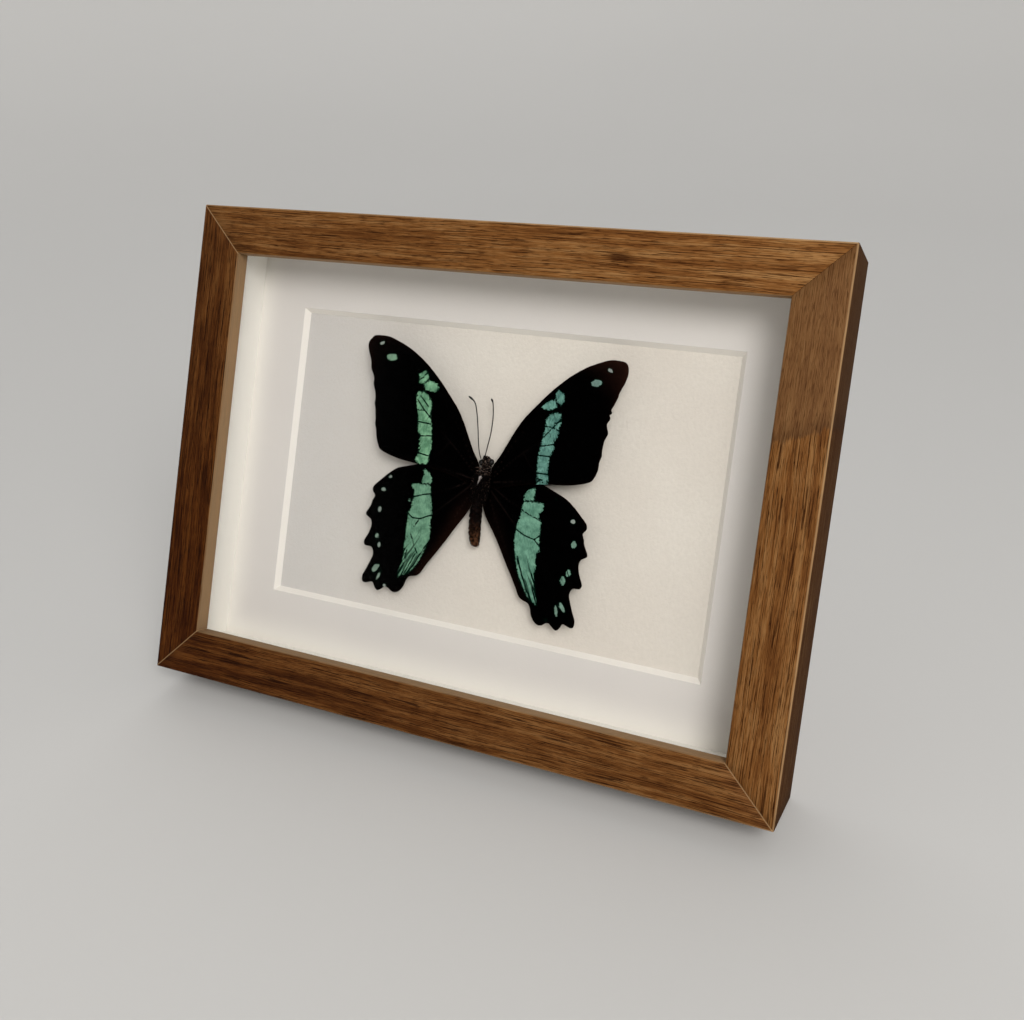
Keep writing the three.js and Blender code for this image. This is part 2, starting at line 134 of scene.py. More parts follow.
# %% A material under construction
class Finish:
    """A material with its node graph, ending in one Principled shader."""

    def __init__(self, name):
        self.material = bpy.data.materials.new(name)
        self.material.use_nodes = True
        self.tree = self.material.node_tree
        self.shader = self.tree.nodes["Principled BSDF"]
        self.output = self.tree.nodes["Material Output"]

    def node(self, kind, settings=None, sockets=None, output=0):
        """Adds a node, sets it up, fills or links its sockets, and gives the wire it puts out."""
        made = self.tree.nodes.new(kind)
        for name, value in (settings or {}).items():
            if name == "stops":
                set_stops(made.color_ramp, value)
            else:
                setattr(made, name, value)
        for name, value in (sockets or {}).items():
            self.plug(made.inputs[name], value)
        return Wire(self, made.outputs[output])

    def plug(self, socket, value):
        if isinstance(value, Wire):
            self.tree.links.new(value.socket, socket)
        else:
            socket.default_value = value

    def set(self, **sockets):
        """Fills the Principled shader, where Base_Color stands for Base Color. Gives the finish."""
        for name, value in sockets.items():
            self.plug(self.shader.inputs[name.replace("_", " ")], value)
        return self

    def read(self, name, output=2):
        """A value stored on the mesh. Output 1 reads it as a vector."""
        return self.node("ShaderNodeAttribute", {"attribute_name": name}, output=output)

    def place(self, lean=LEAN):
        """The point being shaded, in upright millimetres. Another lean suits a tilted board."""
        point = self.node("ShaderNodeTexCoord", output=3)
        foot_turned = Matrix.Rotation(lean, 3, "X") @ foot.translation / MM
        return self.node("ShaderNodeMapping", sockets={
            "Vector": point, "Location": -foot_turned,
            "Rotation": (lean, 0, 0), "Scale": (1 / MM, 1 / MM, 1 / MM)})

    def stretch(self, vector, scale, shift=(0, 0, 0)):
        """The vector times a scale, which is one number or three, and then shifted."""
        scale = scale if isinstance(scale, tuple) else (scale,) * 3
        sockets = {"Vector": vector, "Scale": scale, "Location": shift}
        return self.node("ShaderNodeMapping", sockets=sockets)

    def part(self, vector, axis):
        return self.node("ShaderNodeSeparateXYZ", sockets={0: vector}, output=axis)

    def vector(self, x=0.0, y=0.0, z=0.0):
        return self.node("ShaderNodeCombineXYZ", sockets={0: x, 1: y, 2: z})

    def noise(self, vector, scale=1, detail=3, roughness=0.5, distortion=0, shift=(0, 0, 0)):
        """Cloudy values from about 0.25 to 0.75, one cloud to each unit once it is scaled."""
        return self.node("ShaderNodeTexNoise", sockets={
            "Vector": self.stretch(vector, scale, shift), "Scale": 1, "Detail": detail,
            "Roughness": roughness, "Distortion": distortion})

    def cells(self, vector, scale):
        """Distance to the nearest of many scattered points, one to each unit once it is scaled."""
        sockets = {"Vector": self.stretch(vector, scale), "Scale": 1}
        return self.node("ShaderNodeTexVoronoi", sockets=sockets)

    def mix(self, amount, first, second):
        """Fades from the first colour to the second. Each is a wire or (red, green, blue)."""
        sockets = {0: amount, 6: painted(first), 7: painted(second)}
        return self.node("ShaderNodeMix", {"data_type": "RGBA"}, sockets, 2)

    def ramp(self, amount, *stops):
        """Fades through several colours, each given as (position, red, green, blue)."""
        return self.node("ShaderNodeValToRGB", {"stops": stops}, {0: amount})

    def relief(self, height, strength=1.0):
        """Bumps whose height is in millimetres."""
        return self.node("ShaderNodeBump", sockets={
            "Height": height, "Distance": MM, "Strength": strength})


def set_stops(ramp, stops):
    """Gives a colour ramp its stops. A new ramp has two, so more are added first."""
    for _ in stops[2:]:
        ramp.elements.new(0.5)
    for element, (position, *colour) in zip(ramp.elements, stops):
        element.position = position
        element.color = painted(tuple(colour))


def painted(colour):
    """Turns a screen colour, 0 to 255, into light amounts for a shader. Wires stay as they are."""
    if isinstance(colour, Wire):
        return colour
    return tuple((channel / 255) ** 2.2 for channel in colour) + (1,)


# %% [markdown]
# ## A helper for new pieces
# Each new piece is a list of upright points and a list of faces. The helper stands it in place,
# lets it ride on its CAD body and says which CAD nodes it stands for. Most shapes here are rings
# of points, so one function joins rings.

# %% Make a piece from points and faces
def show(name, data):
    """Puts a mesh, a lamp or a camera in the scene."""
    shown = bpy.data.objects.new(name, data)
    bpy.context.scene.collection.objects.link(shown)
    return shown


def add_piece(name, points, faces, finish, slot, body="frame", stands_for=(), smooth=True):
    mesh = bpy.data.meshes.new(name)
    mesh.from_pydata(to_row(points).tolist(), [], faces)
    if smooth:
        mesh.shade_smooth()
    mesh.materials.append(finish.material)
    piece = show(name, mesh)
    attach(piece, body)
    if stands_for:
        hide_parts(*stands_for)
    print(f"{name}: {len(mesh.vertices)} points, {len(mesh.polygons)} faces")
    return piece


def store(piece, name, values, domain="POINT"):
    """Stores one number, or one vector, for each point or face corner of a piece."""
    values = np.asarray(values, np.float32)
    kind, field = ("FLOAT_VECTOR", "vector") if values.ndim == 2 else ("FLOAT", "value")
    attribute = piece.data.attributes.new(name, kind, domain)
    attribute.data.foreach_set(field, values.ravel())


def ring_faces(rings, sides):
    """Quads between each ring of points and the next, and a cap at each end."""
    quads = []
    for ring in range(rings - 1):
        for side in range(sides):
            here, after = ring * sides + side, ring * sides + (side + 1) % sides
            quads.append([here, after, after + sides, here + sides])
    first, last = range(sides), range((rings - 1) * sides, rings * sides)
    return quads + [list(first)[::-1], list(last)]


def unit(vectors):
    return vectors / np.linalg.norm(vectors, axis=1, keepdims=True)


# %% [markdown]
# ## Walnut moulding
# The moulding is walnut: brown, with darker growth bands, and short dark pores that all run
# along the length. A flat picture of wood would need image files, so the figure is made from
# noise that is stretched a long way along the grain. Each rail stores its own grain direction,
# because the four lengths are cut from the same stick and turned at the corners. Pale lines
# show where the sharp edges are worn and where the mitres are cut. Light and shade are painted
# into the colour as well: each rail fades from a painted shaded copy of the walnut to a painted
# lit copy towards the upper right, the outer sides carry painted shade, the inner lip is painted
# paler with light thrown back from the card, and the outer edge carries a painted highlight.

# %% The walnut finish
OUTER_ARRIS_AT = 30.0
INNER_ARRIS_AT = 44.5
LIP_ENDS_AT = 49.8
BACK_STARTS_AT = 80.5
# A knot in the top rail, and how fast it fades away from its middle on each axis.
KNOT = (39.3, 0, 142.3)
KNOT_SCALE = (0.15, 0.5, 0.75)


def walnut_finish():
    wood = Finish("oiled_walnut")
    grain = wood.read("grain", output=1)
    across = wood.part(grain, 1)
    light = wood.read("light")

    wander = wood.noise(grain, (0.016, 0.05, 1), detail=1)
    bent = wood.vector(wood.part(grain, 0), across + 3 * wander, wood.part(grain, 2))
    growth = wood.noise(bent, (0.014, 0.5, 1), roughness=0.6)
    fibre = wood.noise(bent, (0.14, 6, 1), detail=2, roughness=0.7)
    clouds = wood.noise(grain, (0.09, 0.16, 1), detail=2)
    patches = wood.noise(grain, (0.05, 0.9, 1), shift=(3, 8, 2), detail=2)
    long_pore = wood.noise(bent, (0.065, 3.4, 1), shift=(7, 3, 1), detail=2, roughness=0.55)
    short_pore = wood.noise(bent, (0.3, 4.2, 1), shift=(1, 9, 4), detail=1)

    ragged = wood.noise(grain, (0.2, 1.4, 1)) - 0.5
    ragged_end = wood.read("above_splice") + 6 * ragged
    calm = ragged_end.rise(-0.8, 0.8)
    scorched = ragged_end.rise(6, 0.2) * calm
    crowded = patches.rise(0.36, 0.6)
    pores = (long_pore.rise(0.53, 0.57) * (1 - 0.85 * calm) * (0.35 + 0.65 * crowded)
             + 0.55 * short_pore.rise(0.57, 0.62))

    off_knot = wood.stretch(wood.place(), KNOT_SCALE, [-k * c for k, c in zip(KNOT_SCALE, KNOT)])
    near_knot = wood.node("ShaderNodeVectorMath", {"operation": "LENGTH"}, {0: off_knot}, 1)
    knot = (near_knot + 2.2 * (fibre - 0.5)).rise(1.1, 0.1)

    tone = 0.05 + 0.9 * growth + 0.8 * (fibre - 0.5) + 0.3 * (clouds - 0.5)
    # Painted light: shady is a shaded copy and sunny a lit copy of the walnut, mixed by each rail's
    # painted light; the pores get the same.
    shady = wood.ramp(tone, (0.34, 46, 22, 6), (0.5, 68, 36, 12), (0.66, 88, 52, 22))
    sunny = wood.ramp(tone, (0.34, 101, 63, 31), (0.5, 129, 86, 46), (0.66, 150, 110, 68))
    plain = wood.mix(fibre.rise(0.3, 0.7), (88, 62, 40), (112, 83, 56))
    body = wood.mix(light, shady, sunny)
    dark = (0.85 * pores + 0.75 * knot + 0.35 * scorched).least(1)
    pore_colour = wood.mix(light, (26, 12, 4), (54, 30, 12))
    streaked = wood.mix(dark, wood.mix(0.6 * calm, body, plain), pore_colour)
    # Painted shade: the outer side faces are painted a darker brown.
    side_face = (across - OUTER_ARRIS_AT).rise(-0.1, -0.7)
    side_painted_shade = wood.mix(0.64 * side_face, streaked, (42, 23, 3))

    wear = wood.noise(grain, (0.09, 0.6, 1))
    # Painted highlight along the outer edge, stronger where the painted light is, together with
    # real wear on the inner edge and pale mitre lines.
    outer = abs(across - OUTER_ARRIS_AT).rise(0.5, 0.1) * light
    inner = abs(across - INNER_ARRIS_AT).rise(0.45, 0.1)
    mitre = wood.read("mitre").rise(0.32, 0.14)
    rubbed_and_highlit = (outer * (0.3 + wear) + 0.8 * inner * wear + 0.6 * mitre).least(0.9)
    # Painted light: the inner lip faces are painted paler, as if lit by light thrown back from the
    # white card.
    lip = (across - INNER_ARRIS_AT).rise(0, 0.5) * (across - LIP_ENDS_AT).rise(0.3, -0.3)
    lip_painted_light = wood.mix(0.5 * lip, side_painted_shade, (176, 146, 110))
    edged = wood.mix(rubbed_and_highlit, lip_painted_light, (170, 138, 100))
    bare = (across - BACK_STARTS_AT).rise(-0.3, 0.3)
    raw = wood.ramp(fibre - 0.25 * pores, (0.2, 112, 80, 50), (0.7, 172, 138, 98))
    return wood.set(
        Base_Color=wood.mix(bare, edged, raw),
        Roughness=0.5 + 0.2 * pores + 0.12 * fibre + 0.2 * bare + 0.35 * side_face,
        Normal=wood.relief(0.03 * fibre - 0.04 * long_pore),
        Specular_IOR_Level=0.05,
    )


walnut = walnut_finish()
print("walnut nodes:", len(walnut.tree.nodes))

# %% [markdown]
# ## The four rails
# A rail is one section of moulding pulled along a line and cut at 45 degrees. Every point of
# the section stops short of the corner by its own distance in from the outer edge, which makes
# the mitre. The CAD rails keep a wide gap at the mitres. These rails replace them with a close
# joint, rounded edges and a small groove where two ends meet.

# %% Round the corners of a section
def rounded(corners, radii, steps=4):
    """Replaces each corner of a closed outline with an arc-like curve of that size."""
    corners = [Vector(corner) for corner in corners]
    points = []
    for index, corner in enumerate(corners):
        before = (corners[index - 1] - corner).normalized() * radii[index]
        after = (corners[(index + 1) % len(corners)] - corner).normalized() * radii[index]
        for step in range(steps + 1):
            t = step / steps
            points.append(corner + before * (1 - t) ** 2 + after * t**2)
    return np.array(points)


RAIL_FACE = 14.5
LIP_DEPTH = 5.3
REBATE_WALL = 8.5
SECTION = rounded(
    [(0, FRAME_DEPTH), (0, 0), (RAIL_FACE, 0), (RAIL_FACE, LIP_DEPTH),
     (REBATE_WALL, LIP_DEPTH), (REBATE_WALL, FRAME_DEPTH)],
    [0.25, 0.75, 0.55, 0.2, 0.2, 0.25],
)
steps_round = np.linalg.norm(np.diff(SECTION, axis=0, append=SECTION[:1]), axis=1)
UNROLLED = np.concatenate([[0], np.cumsum(steps_round)])
print("section points:", len(SECTION), "and the distance round it:", round(UNROLLED[-1], 1))

# %% Pull the section into a rail
MITRE_GAP = 0.02
GROOVE = 0.14
STATIONS = 26
# Painted light: each rail is painted between a shaded walnut, 0, and a lit walnut, 1, as the
# light falls on it. Each pair is (the painted light in the middle, how much it gains towards the
# upper right, where the light comes from). The rails follow each other round the frame, a
# quarter turn apart.
RAIL_PAINTED_LIGHT = {
    "rail_bottom": (0.6, 0.62), "rail_right": (0.76, -0.05),
    "rail_top": (0.55, 0.5), "rail_left": (0.2, 0.3),
}
# Above this slanting line the right rail's figure turns plain: z = SPLICE_Z + SPLICE_SLOPE x.
SPLICE_SLOPE = 0.415
SPLICE_Z = 62.3
# The figure moves on by this much for each rail, so that no two rails look alike.
FIGURE_STEP = 20
# The upper right mitre, beyond this x and z, is closed too tightly to show a pale line.
TIGHT_MITRE_X = 60
TIGHT_MITRE_Z = 115


def shrunk(section, by):
    """The section with each point moved inwards, for the eased end of a rail."""
    ahead = np.roll(section, -1, axis=0) - np.roll(section, 1, axis=0)
    inward = unit(np.stack([ahead[:, 1], -ahead[:, 0]], axis=1))
    centre_side = np.sign(np.sum(inward * (section.mean(0) - section), axis=1).mean())
    return section + by * centre_side * inward


def rail(name, quarter):
    """Builds a rail along X, then turns it by quarter turns about the frame's middle."""
    length = (FRAME_WIDTH, FRAME_HEIGHT)[quarter % 2]
    reach = (FRAME_HEIGHT, FRAME_WIDTH)[quarter % 2] / 2
    eased = shrunk(SECTION, GROOVE)
    middle_rings = [(SECTION, share, GROOVE) for share in np.linspace(-1, 1, STATIONS)]
    rings = [(eased, -1, 0), *middle_rings, (eased, 1, 0)]
    points = np.concatenate([np.stack([
        share * (length / 2 - shape[:, 0] - MITRE_GAP - inset), shape[:, 1], shape[:, 0],
    ], axis=1) for shape, share, inset in rings])

    faces = ring_faces(len(rings), len(SECTION))
    corner_grain = []
    for face in faces:
        sides = [point % len(SECTION) for point in face]
        if len(face) == 4:
            sides = [sides[0], sides[0] + 1, sides[0] + 1, sides[0]]
        corner_grain += [(points[point, 0], UNROLLED[side], FIGURE_STEP * quarter)
                         for point, side in zip(face, sides)]

    flat = np.stack([points[:, 0], points[:, 2] - reach], axis=1)
    for _ in range(quarter):
        flat = np.stack([-flat[:, 1], flat[:, 0]], axis=1)
    placed = np.stack([flat[:, 0], points[:, 1], flat[:, 1] + FRAME_HEIGHT / 2], axis=1)
    piece = add_piece(name + "_moulding", placed, faces, walnut, "walnut", stands_for=[name])
    store(piece, "grain", corner_grain, "CORNER")
    tight = 0.3 * ((placed[:, 0] > TIGHT_MITRE_X) & (placed[:, 2] > TIGHT_MITRE_Z))
    store(piece, "mitre", length / 2 - points[:, 2] - abs(points[:, 0]) + tight)
    above = placed[:, 2] - SPLICE_Z - SPLICE_SLOPE * placed[:, 0]
    store(piece, "above_splice", above if name == "rail_right" else np.full(len(points), -1000))
    across_frame = placed[:, 0] / FRAME_WIDTH + (placed[:, 2] - FRAME_HEIGHT / 2) / FRAME_HEIGHT
    middle, slope = RAIL_PAINTED_LIGHT[name]
    store(piece, "light", np.clip(middle + slope * across_frame, 0, 1))


for quarter, name in enumerate(RAIL_PAINTED_LIGHT):
    rail(name, quarter)

# %% [markdown]
# ## White card: spacers and mat
# The box is lined with strips of white card, and the mat is one sheet with a window whose edge
# is cut at 45 degrees. Card is matt and almost plain, so its finish is small: faint clouding,
# a little fibre, and soft bumps. It whitens towards the strips below and on the left, which
# throw light back on it. The cut edge of the mat shows the card's whiter core.

# %% The white card finish
def card_finish(name, face, core):
    card = Finish(name)
    place = card.place()
    cloud = card.noise(place, 0.015, detail=2)
    fibre = card.noise(place, 2.2, detail=2, roughness=0.6)
    mottle = card.noise(place, 0.7, detail=2)
    paper = card.mix((0.7 * cloud + 0.3 * fibre).rise(0.3, 0.75) * 0.3, face, core)
    beside_strip = card.part(place, 2).rise(22, 7).most(card.part(place, 0).rise(-80, -93))
    brightened = card.mix(0.6 * beside_strip, paper, (250, 246, 236))
    is_cut = card.read("cut_edge")
    return card.set(
        Base_Color=card.mix(is_cut, brightened, core),
        Roughness=0.82 + 0.1 * fibre,
        Normal=card.relief((0.02 * fibre + 0.04 * mottle) * (1 - 0.7 * is_cut)),
        Specular_IOR_Level=0.2,
    )


white_card = card_finish("white_card", (221, 216, 212), (243, 238, 231))
bright_card = card_finish("bright_card", (254, 253, 250), (255, 254, 252))

# %% The mat, with its bevelled window
GLASS_BACK = 7.6
SPACER = 1.7
MAT_FRONT = 20.9
MAT_BACK = 22.75
INSIDE_WIDTH = 182.4
INSIDE_HEIGHT = 132.4
WINDOW_WIDTH = 145
WINDOW_HEIGHT = 94
BEVEL = 1.4
BEVEL_RING = 4


def window_mat():
    """Rings of four corners, from the sheet's back edge round to the window and back."""
    rings = [
        (INSIDE_WIDTH, INSIDE_HEIGHT, MAT_BACK),
        (INSIDE_WIDTH, INSIDE_HEIGHT, MAT_FRONT + 0.1),
        (INSIDE_WIDTH - 0.2, INSIDE_HEIGHT - 0.2, MAT_FRONT),
        (WINDOW_WIDTH + 0.16, WINDOW_HEIGHT + 0.16, MAT_FRONT),
        (WINDOW_WIDTH - 0.04, WINDOW_HEIGHT - 0.04, MAT_FRONT + 0.07),
        (WINDOW_WIDTH - 2 * BEVEL, WINDOW_HEIGHT - 2 * BEVEL, MAT_BACK),
    ]
    points = [
        (right * width / 2, depth, FRAME_HEIGHT / 2 + up * height / 2)
        for width, height, depth in rings
        for right, up in ((-1, -1), (1, -1), (1, 1), (-1, 1))
    ]
    quads = ring_faces(len(rings) + 1, 4)[:-2]
    faces = [[point % len(points) for point in quad] for quad in quads]
    cut = [float(ring == BEVEL_RING) for ring in range(len(rings)) for _ in range(4 * 4)]
    piece = add_piece("window_mat", points, faces, white_card, "white_card",
                      stands_for=["mat"], smooth=False)
    store(piece, "cut_edge", cut, "CORNER")


window_mat()

# %% The strips that line the box
STRIP_BOW = 0.12
STRIP_EASE = 0.06
STRIP_STATIONS = 15


def strip(name, low, high):
    """A strip of card with eased long edges, bowed very slightly out from the wall."""
    low, high = np.array(low, float), np.array(high, float)
    along, thin = int(np.argmax(high - low)), int(np.argmin(high - low))
    wide = 3 - along - thin
    shape = rounded([(low[wide], low[thin]), (high[wide], low[thin]), (high[wide], high[thin]),
                     (low[wide], high[thin])], [STRIP_EASE] * 4, steps=3)
    shares = np.linspace(0, 1, STRIP_STATIONS)[:, None]
    inward = math.copysign(STRIP_BOW, 0.5 * (FRAME_HEIGHT if thin == 2 else 0) - low[thin])
    points = np.zeros((STRIP_STATIONS, len(shape), 3))
    points[..., along] = low[along] + shares * (high[along] - low[along])
    points[..., wide] = shape[:, 0]
    points[..., thin] = shape[:, 1] + inward * np.sin(math.pi * shares)
    add_piece(name + "_strip", points.reshape(-1, 3), ring_faces(*points.shape[:2]),
              bright_card, "white_card", stands_for=[name], smooth=False)


left, right = -INSIDE_WIDTH / 2, INSIDE_WIDTH / 2
low, high = (FRAME_HEIGHT - INSIDE_HEIGHT) / 2, (FRAME_HEIGHT + INSIDE_HEIGHT) / 2
near, far = GLASS_BACK + 0.02, MAT_FRONT - 0.02
side_low, side_high = low + SPACER + 0.05, high - SPACER - 0.05
strip("spacer_bottom", (left, near, low), (right, far, low + SPACER))
strip("spacer_top", (left, near, high - SPACER), (right, far, high))
strip("spacer_left", (left, near, side_low), (left + SPACER, far, side_high))
strip("spacer_right", (right - SPACER, near, side_low), (right, far, side_high))

# %% [markdown]
# ## The mount board
# Behind the mat lies a board covered in rough paper, like the paper that watercolours are
# painted on. Its tooth is what makes it look different from the smooth mat, so it has two sizes
# of bump: broad dimples about a millimetre apart, and finer fibre on top.

# %% The rough paper finish
def rough_paper_finish():
    paper = Finish("rough_paper")
    place = paper.place()
    dimple = paper.noise(place, (1.3, 1.3, 1), detail=2, roughness=0.55)
    fibre = paper.noise(place, 3.6, detail=2)
    cloud = paper.noise(place, 0.03, detail=2)
    # Painted shade: the paper is painted a darker, greyer white towards the left.
    shaded_left = paper.part(place, 0).rise(10, -75)
    warm = paper.mix(cloud.rise(0.3, 0.7), (225, 217, 207), (230, 223, 213))
    paper_shaded_left = paper.mix(0.65 * shaded_left, warm, (200, 199, 200))
    tooth = (0.8 * dimple + 0.4 * fibre).rise(0.42, 0.8)
    toothed = paper.mix(0.22 * tooth, paper_shaded_left, (204, 196, 186))
    return paper.set(
        Base_Color=toothed,
        Roughness=0.88 + 0.08 * fibre,
        Normal=paper.relief(0.13 * dimple + 0.03 * fibre),
        Specular_IOR_Level=0.15,
    )


rough_paper = rough_paper_finish()

# %% [markdown]
# ## Glass
# Clear picture glass is mostly see-through, with a weak reflection that grows at a slant. True
# refraction would shut out the lamps, because light bent through glass is hard to trace. So the
# pane mixes a see-through shader with a gloss shader, and the mix follows the viewing angle.
# The glass is of the kind with a thin coat that keeps it clear from the front, so the weakest
# reflection, 5 in 100, is taken off. A few specks of dust sit on it.

# %% The glass finish
def glass_finish():
    glass = Finish("picture_glass")
    place = glass.place()
    speck = glass.cells(place, 0.16)
    dusty = glass.noise(place, 0.05, detail=1)
    dust = speck.rise(0.028, 0.012) * dusty.rise(0.48, 0.56)
    wave = glass.noise(place, 0.02, detail=0)
    angle = glass.node("ShaderNodeFresnel", sockets={"IOR": 1.5})
    clear = glass.node("ShaderNodeBsdfTransparent", sockets={"Color": (0.99, 0.992, 0.988, 1)})
    gloss = glass.node("ShaderNodeBsdfGlossy", sockets={
        "Color": (1, 1, 1, 1), "Roughness": 0.03, "Normal": glass.relief(0.5 * wave, 0.2)})
    amount = (0.5 * (angle - 0.05).most(0) + 0.2 * dust).least(1)
    mixed = glass.node("ShaderNodeMixShader", sockets={0: amount, 1: clear, 2: gloss})
    glass.plug(glass.output.inputs["Surface"], mixed)
    glass.tree.nodes.remove(glass.shader)
    return glass


picture_glass = glass_finish()

# %% [markdown]
# ## The wings: where the lines run
# A butterfly's wing is a thin sheet held out by stiff veins. The black ground and the
# blue-green bands are both made of tiny scales, and the bands break where the veins cross them.
# Every line below is written as [out from the body, up from the wing root] in millimetres, as
# if each wing were on the right, so one list of veins serves both sides.

# %% Veins, and where each wing was set
AXIS_X = -0.85
WING_ROOT_Z = 76
FOREWING_VEINS = [
    [(3.4, 2.6), (9, 12.5), (16, 21.6), (24, 29.6), (32, 35.3), (40.2, 38.6)],
    [(3.4, 1.2), (9, 6.8), (14, 11.2), (19, 15.6), (21.6, 20.4), (22.6, 25.8)],
    [(22.6, 25.8), (24.6, 28.2), (31, 32.6), (40.8, 35.6)],
    [(20.7, 19.5), (23.5, 22.2), (31, 28.4), (41, 33)],
    [(19.6, 16.2), (22.1, 18.6), (24.2, 21.1), (31, 25.6), (40.2, 29)],
    [(18.4, 15), (21, 14.2), (25, 15.4), (39, 24.2)],
    [(16.5, 13.4), (18.3, 10.7), (22.3, 10), (29, 12.6), (38, 18.4)],
    [(12.2, 9.7), (15, 6), (18.3, 4.4), (22.1, 4.9), (29, 7), (37, 12)],
    [(3.4, -0.6), (10, 0.6), (18, 2.1), (27, 3.2), (34.4, 5)],
]
HINDWING_VEINS = [
    [(3.4, 0.2), (9, 1.6), (16, 0.9), (24, -1.2), (30, -3.8), (35, -8)],
    [(3.4, -1.4), (9, -4.6), (16, -7.4), (21.6, -9.1), (28, -10.6), (35.2, -12.6)],
    [(21.6, -9.1), (23.6, -11.4), (23.3, -13.8), (28, -15.4), (36.4, -17)],
    [(15, -13.9), (16.4, -14.6), (18.6, -15.6), (21.2, -15.6), (23.3, -13.8)],
    [(21.2, -15.6), (25, -19), (35.8, -26.2)],
    [(18.6, -15.6), (22.4, -21.6), (28.6, -31), (34.6, -38)],
    [(15, -13.9), (18.4, -22), (22.6, -30.4), (27.2, -38.4)],
    [(3.4, -3), (7.6, -7), (11.6, -10.8), (15, -13.9)],
    [(3.5, -6), (7.4, -13.4), (12.6, -22), (19.8, -33.2)],
]

# %% [markdown]
# ## The wings: the bands
# Each wing's bands and spots are closed outlines in the same axes. The two sides of a real
# butterfly match only roughly, and one band that is mirrored exactly would look printed, so
# each side keeps its own outlines.

# %% Outlines of the bands and spots
def spot(out, up, width, height, turn=0):
    """An oval spot, as twelve points. It is turned by so many degrees towards the apex."""
    turn = math.radians(turn)
    ring = [math.tau * step / 12 for step in range(12)]
    across = [(math.cos(a) * width / 2, math.sin(a) * height / 2) for a in ring]
    return [(out + x * math.cos(turn) - y * math.sin(turn),
             up + x * math.sin(turn) + y * math.cos(turn)) for x, y in across]


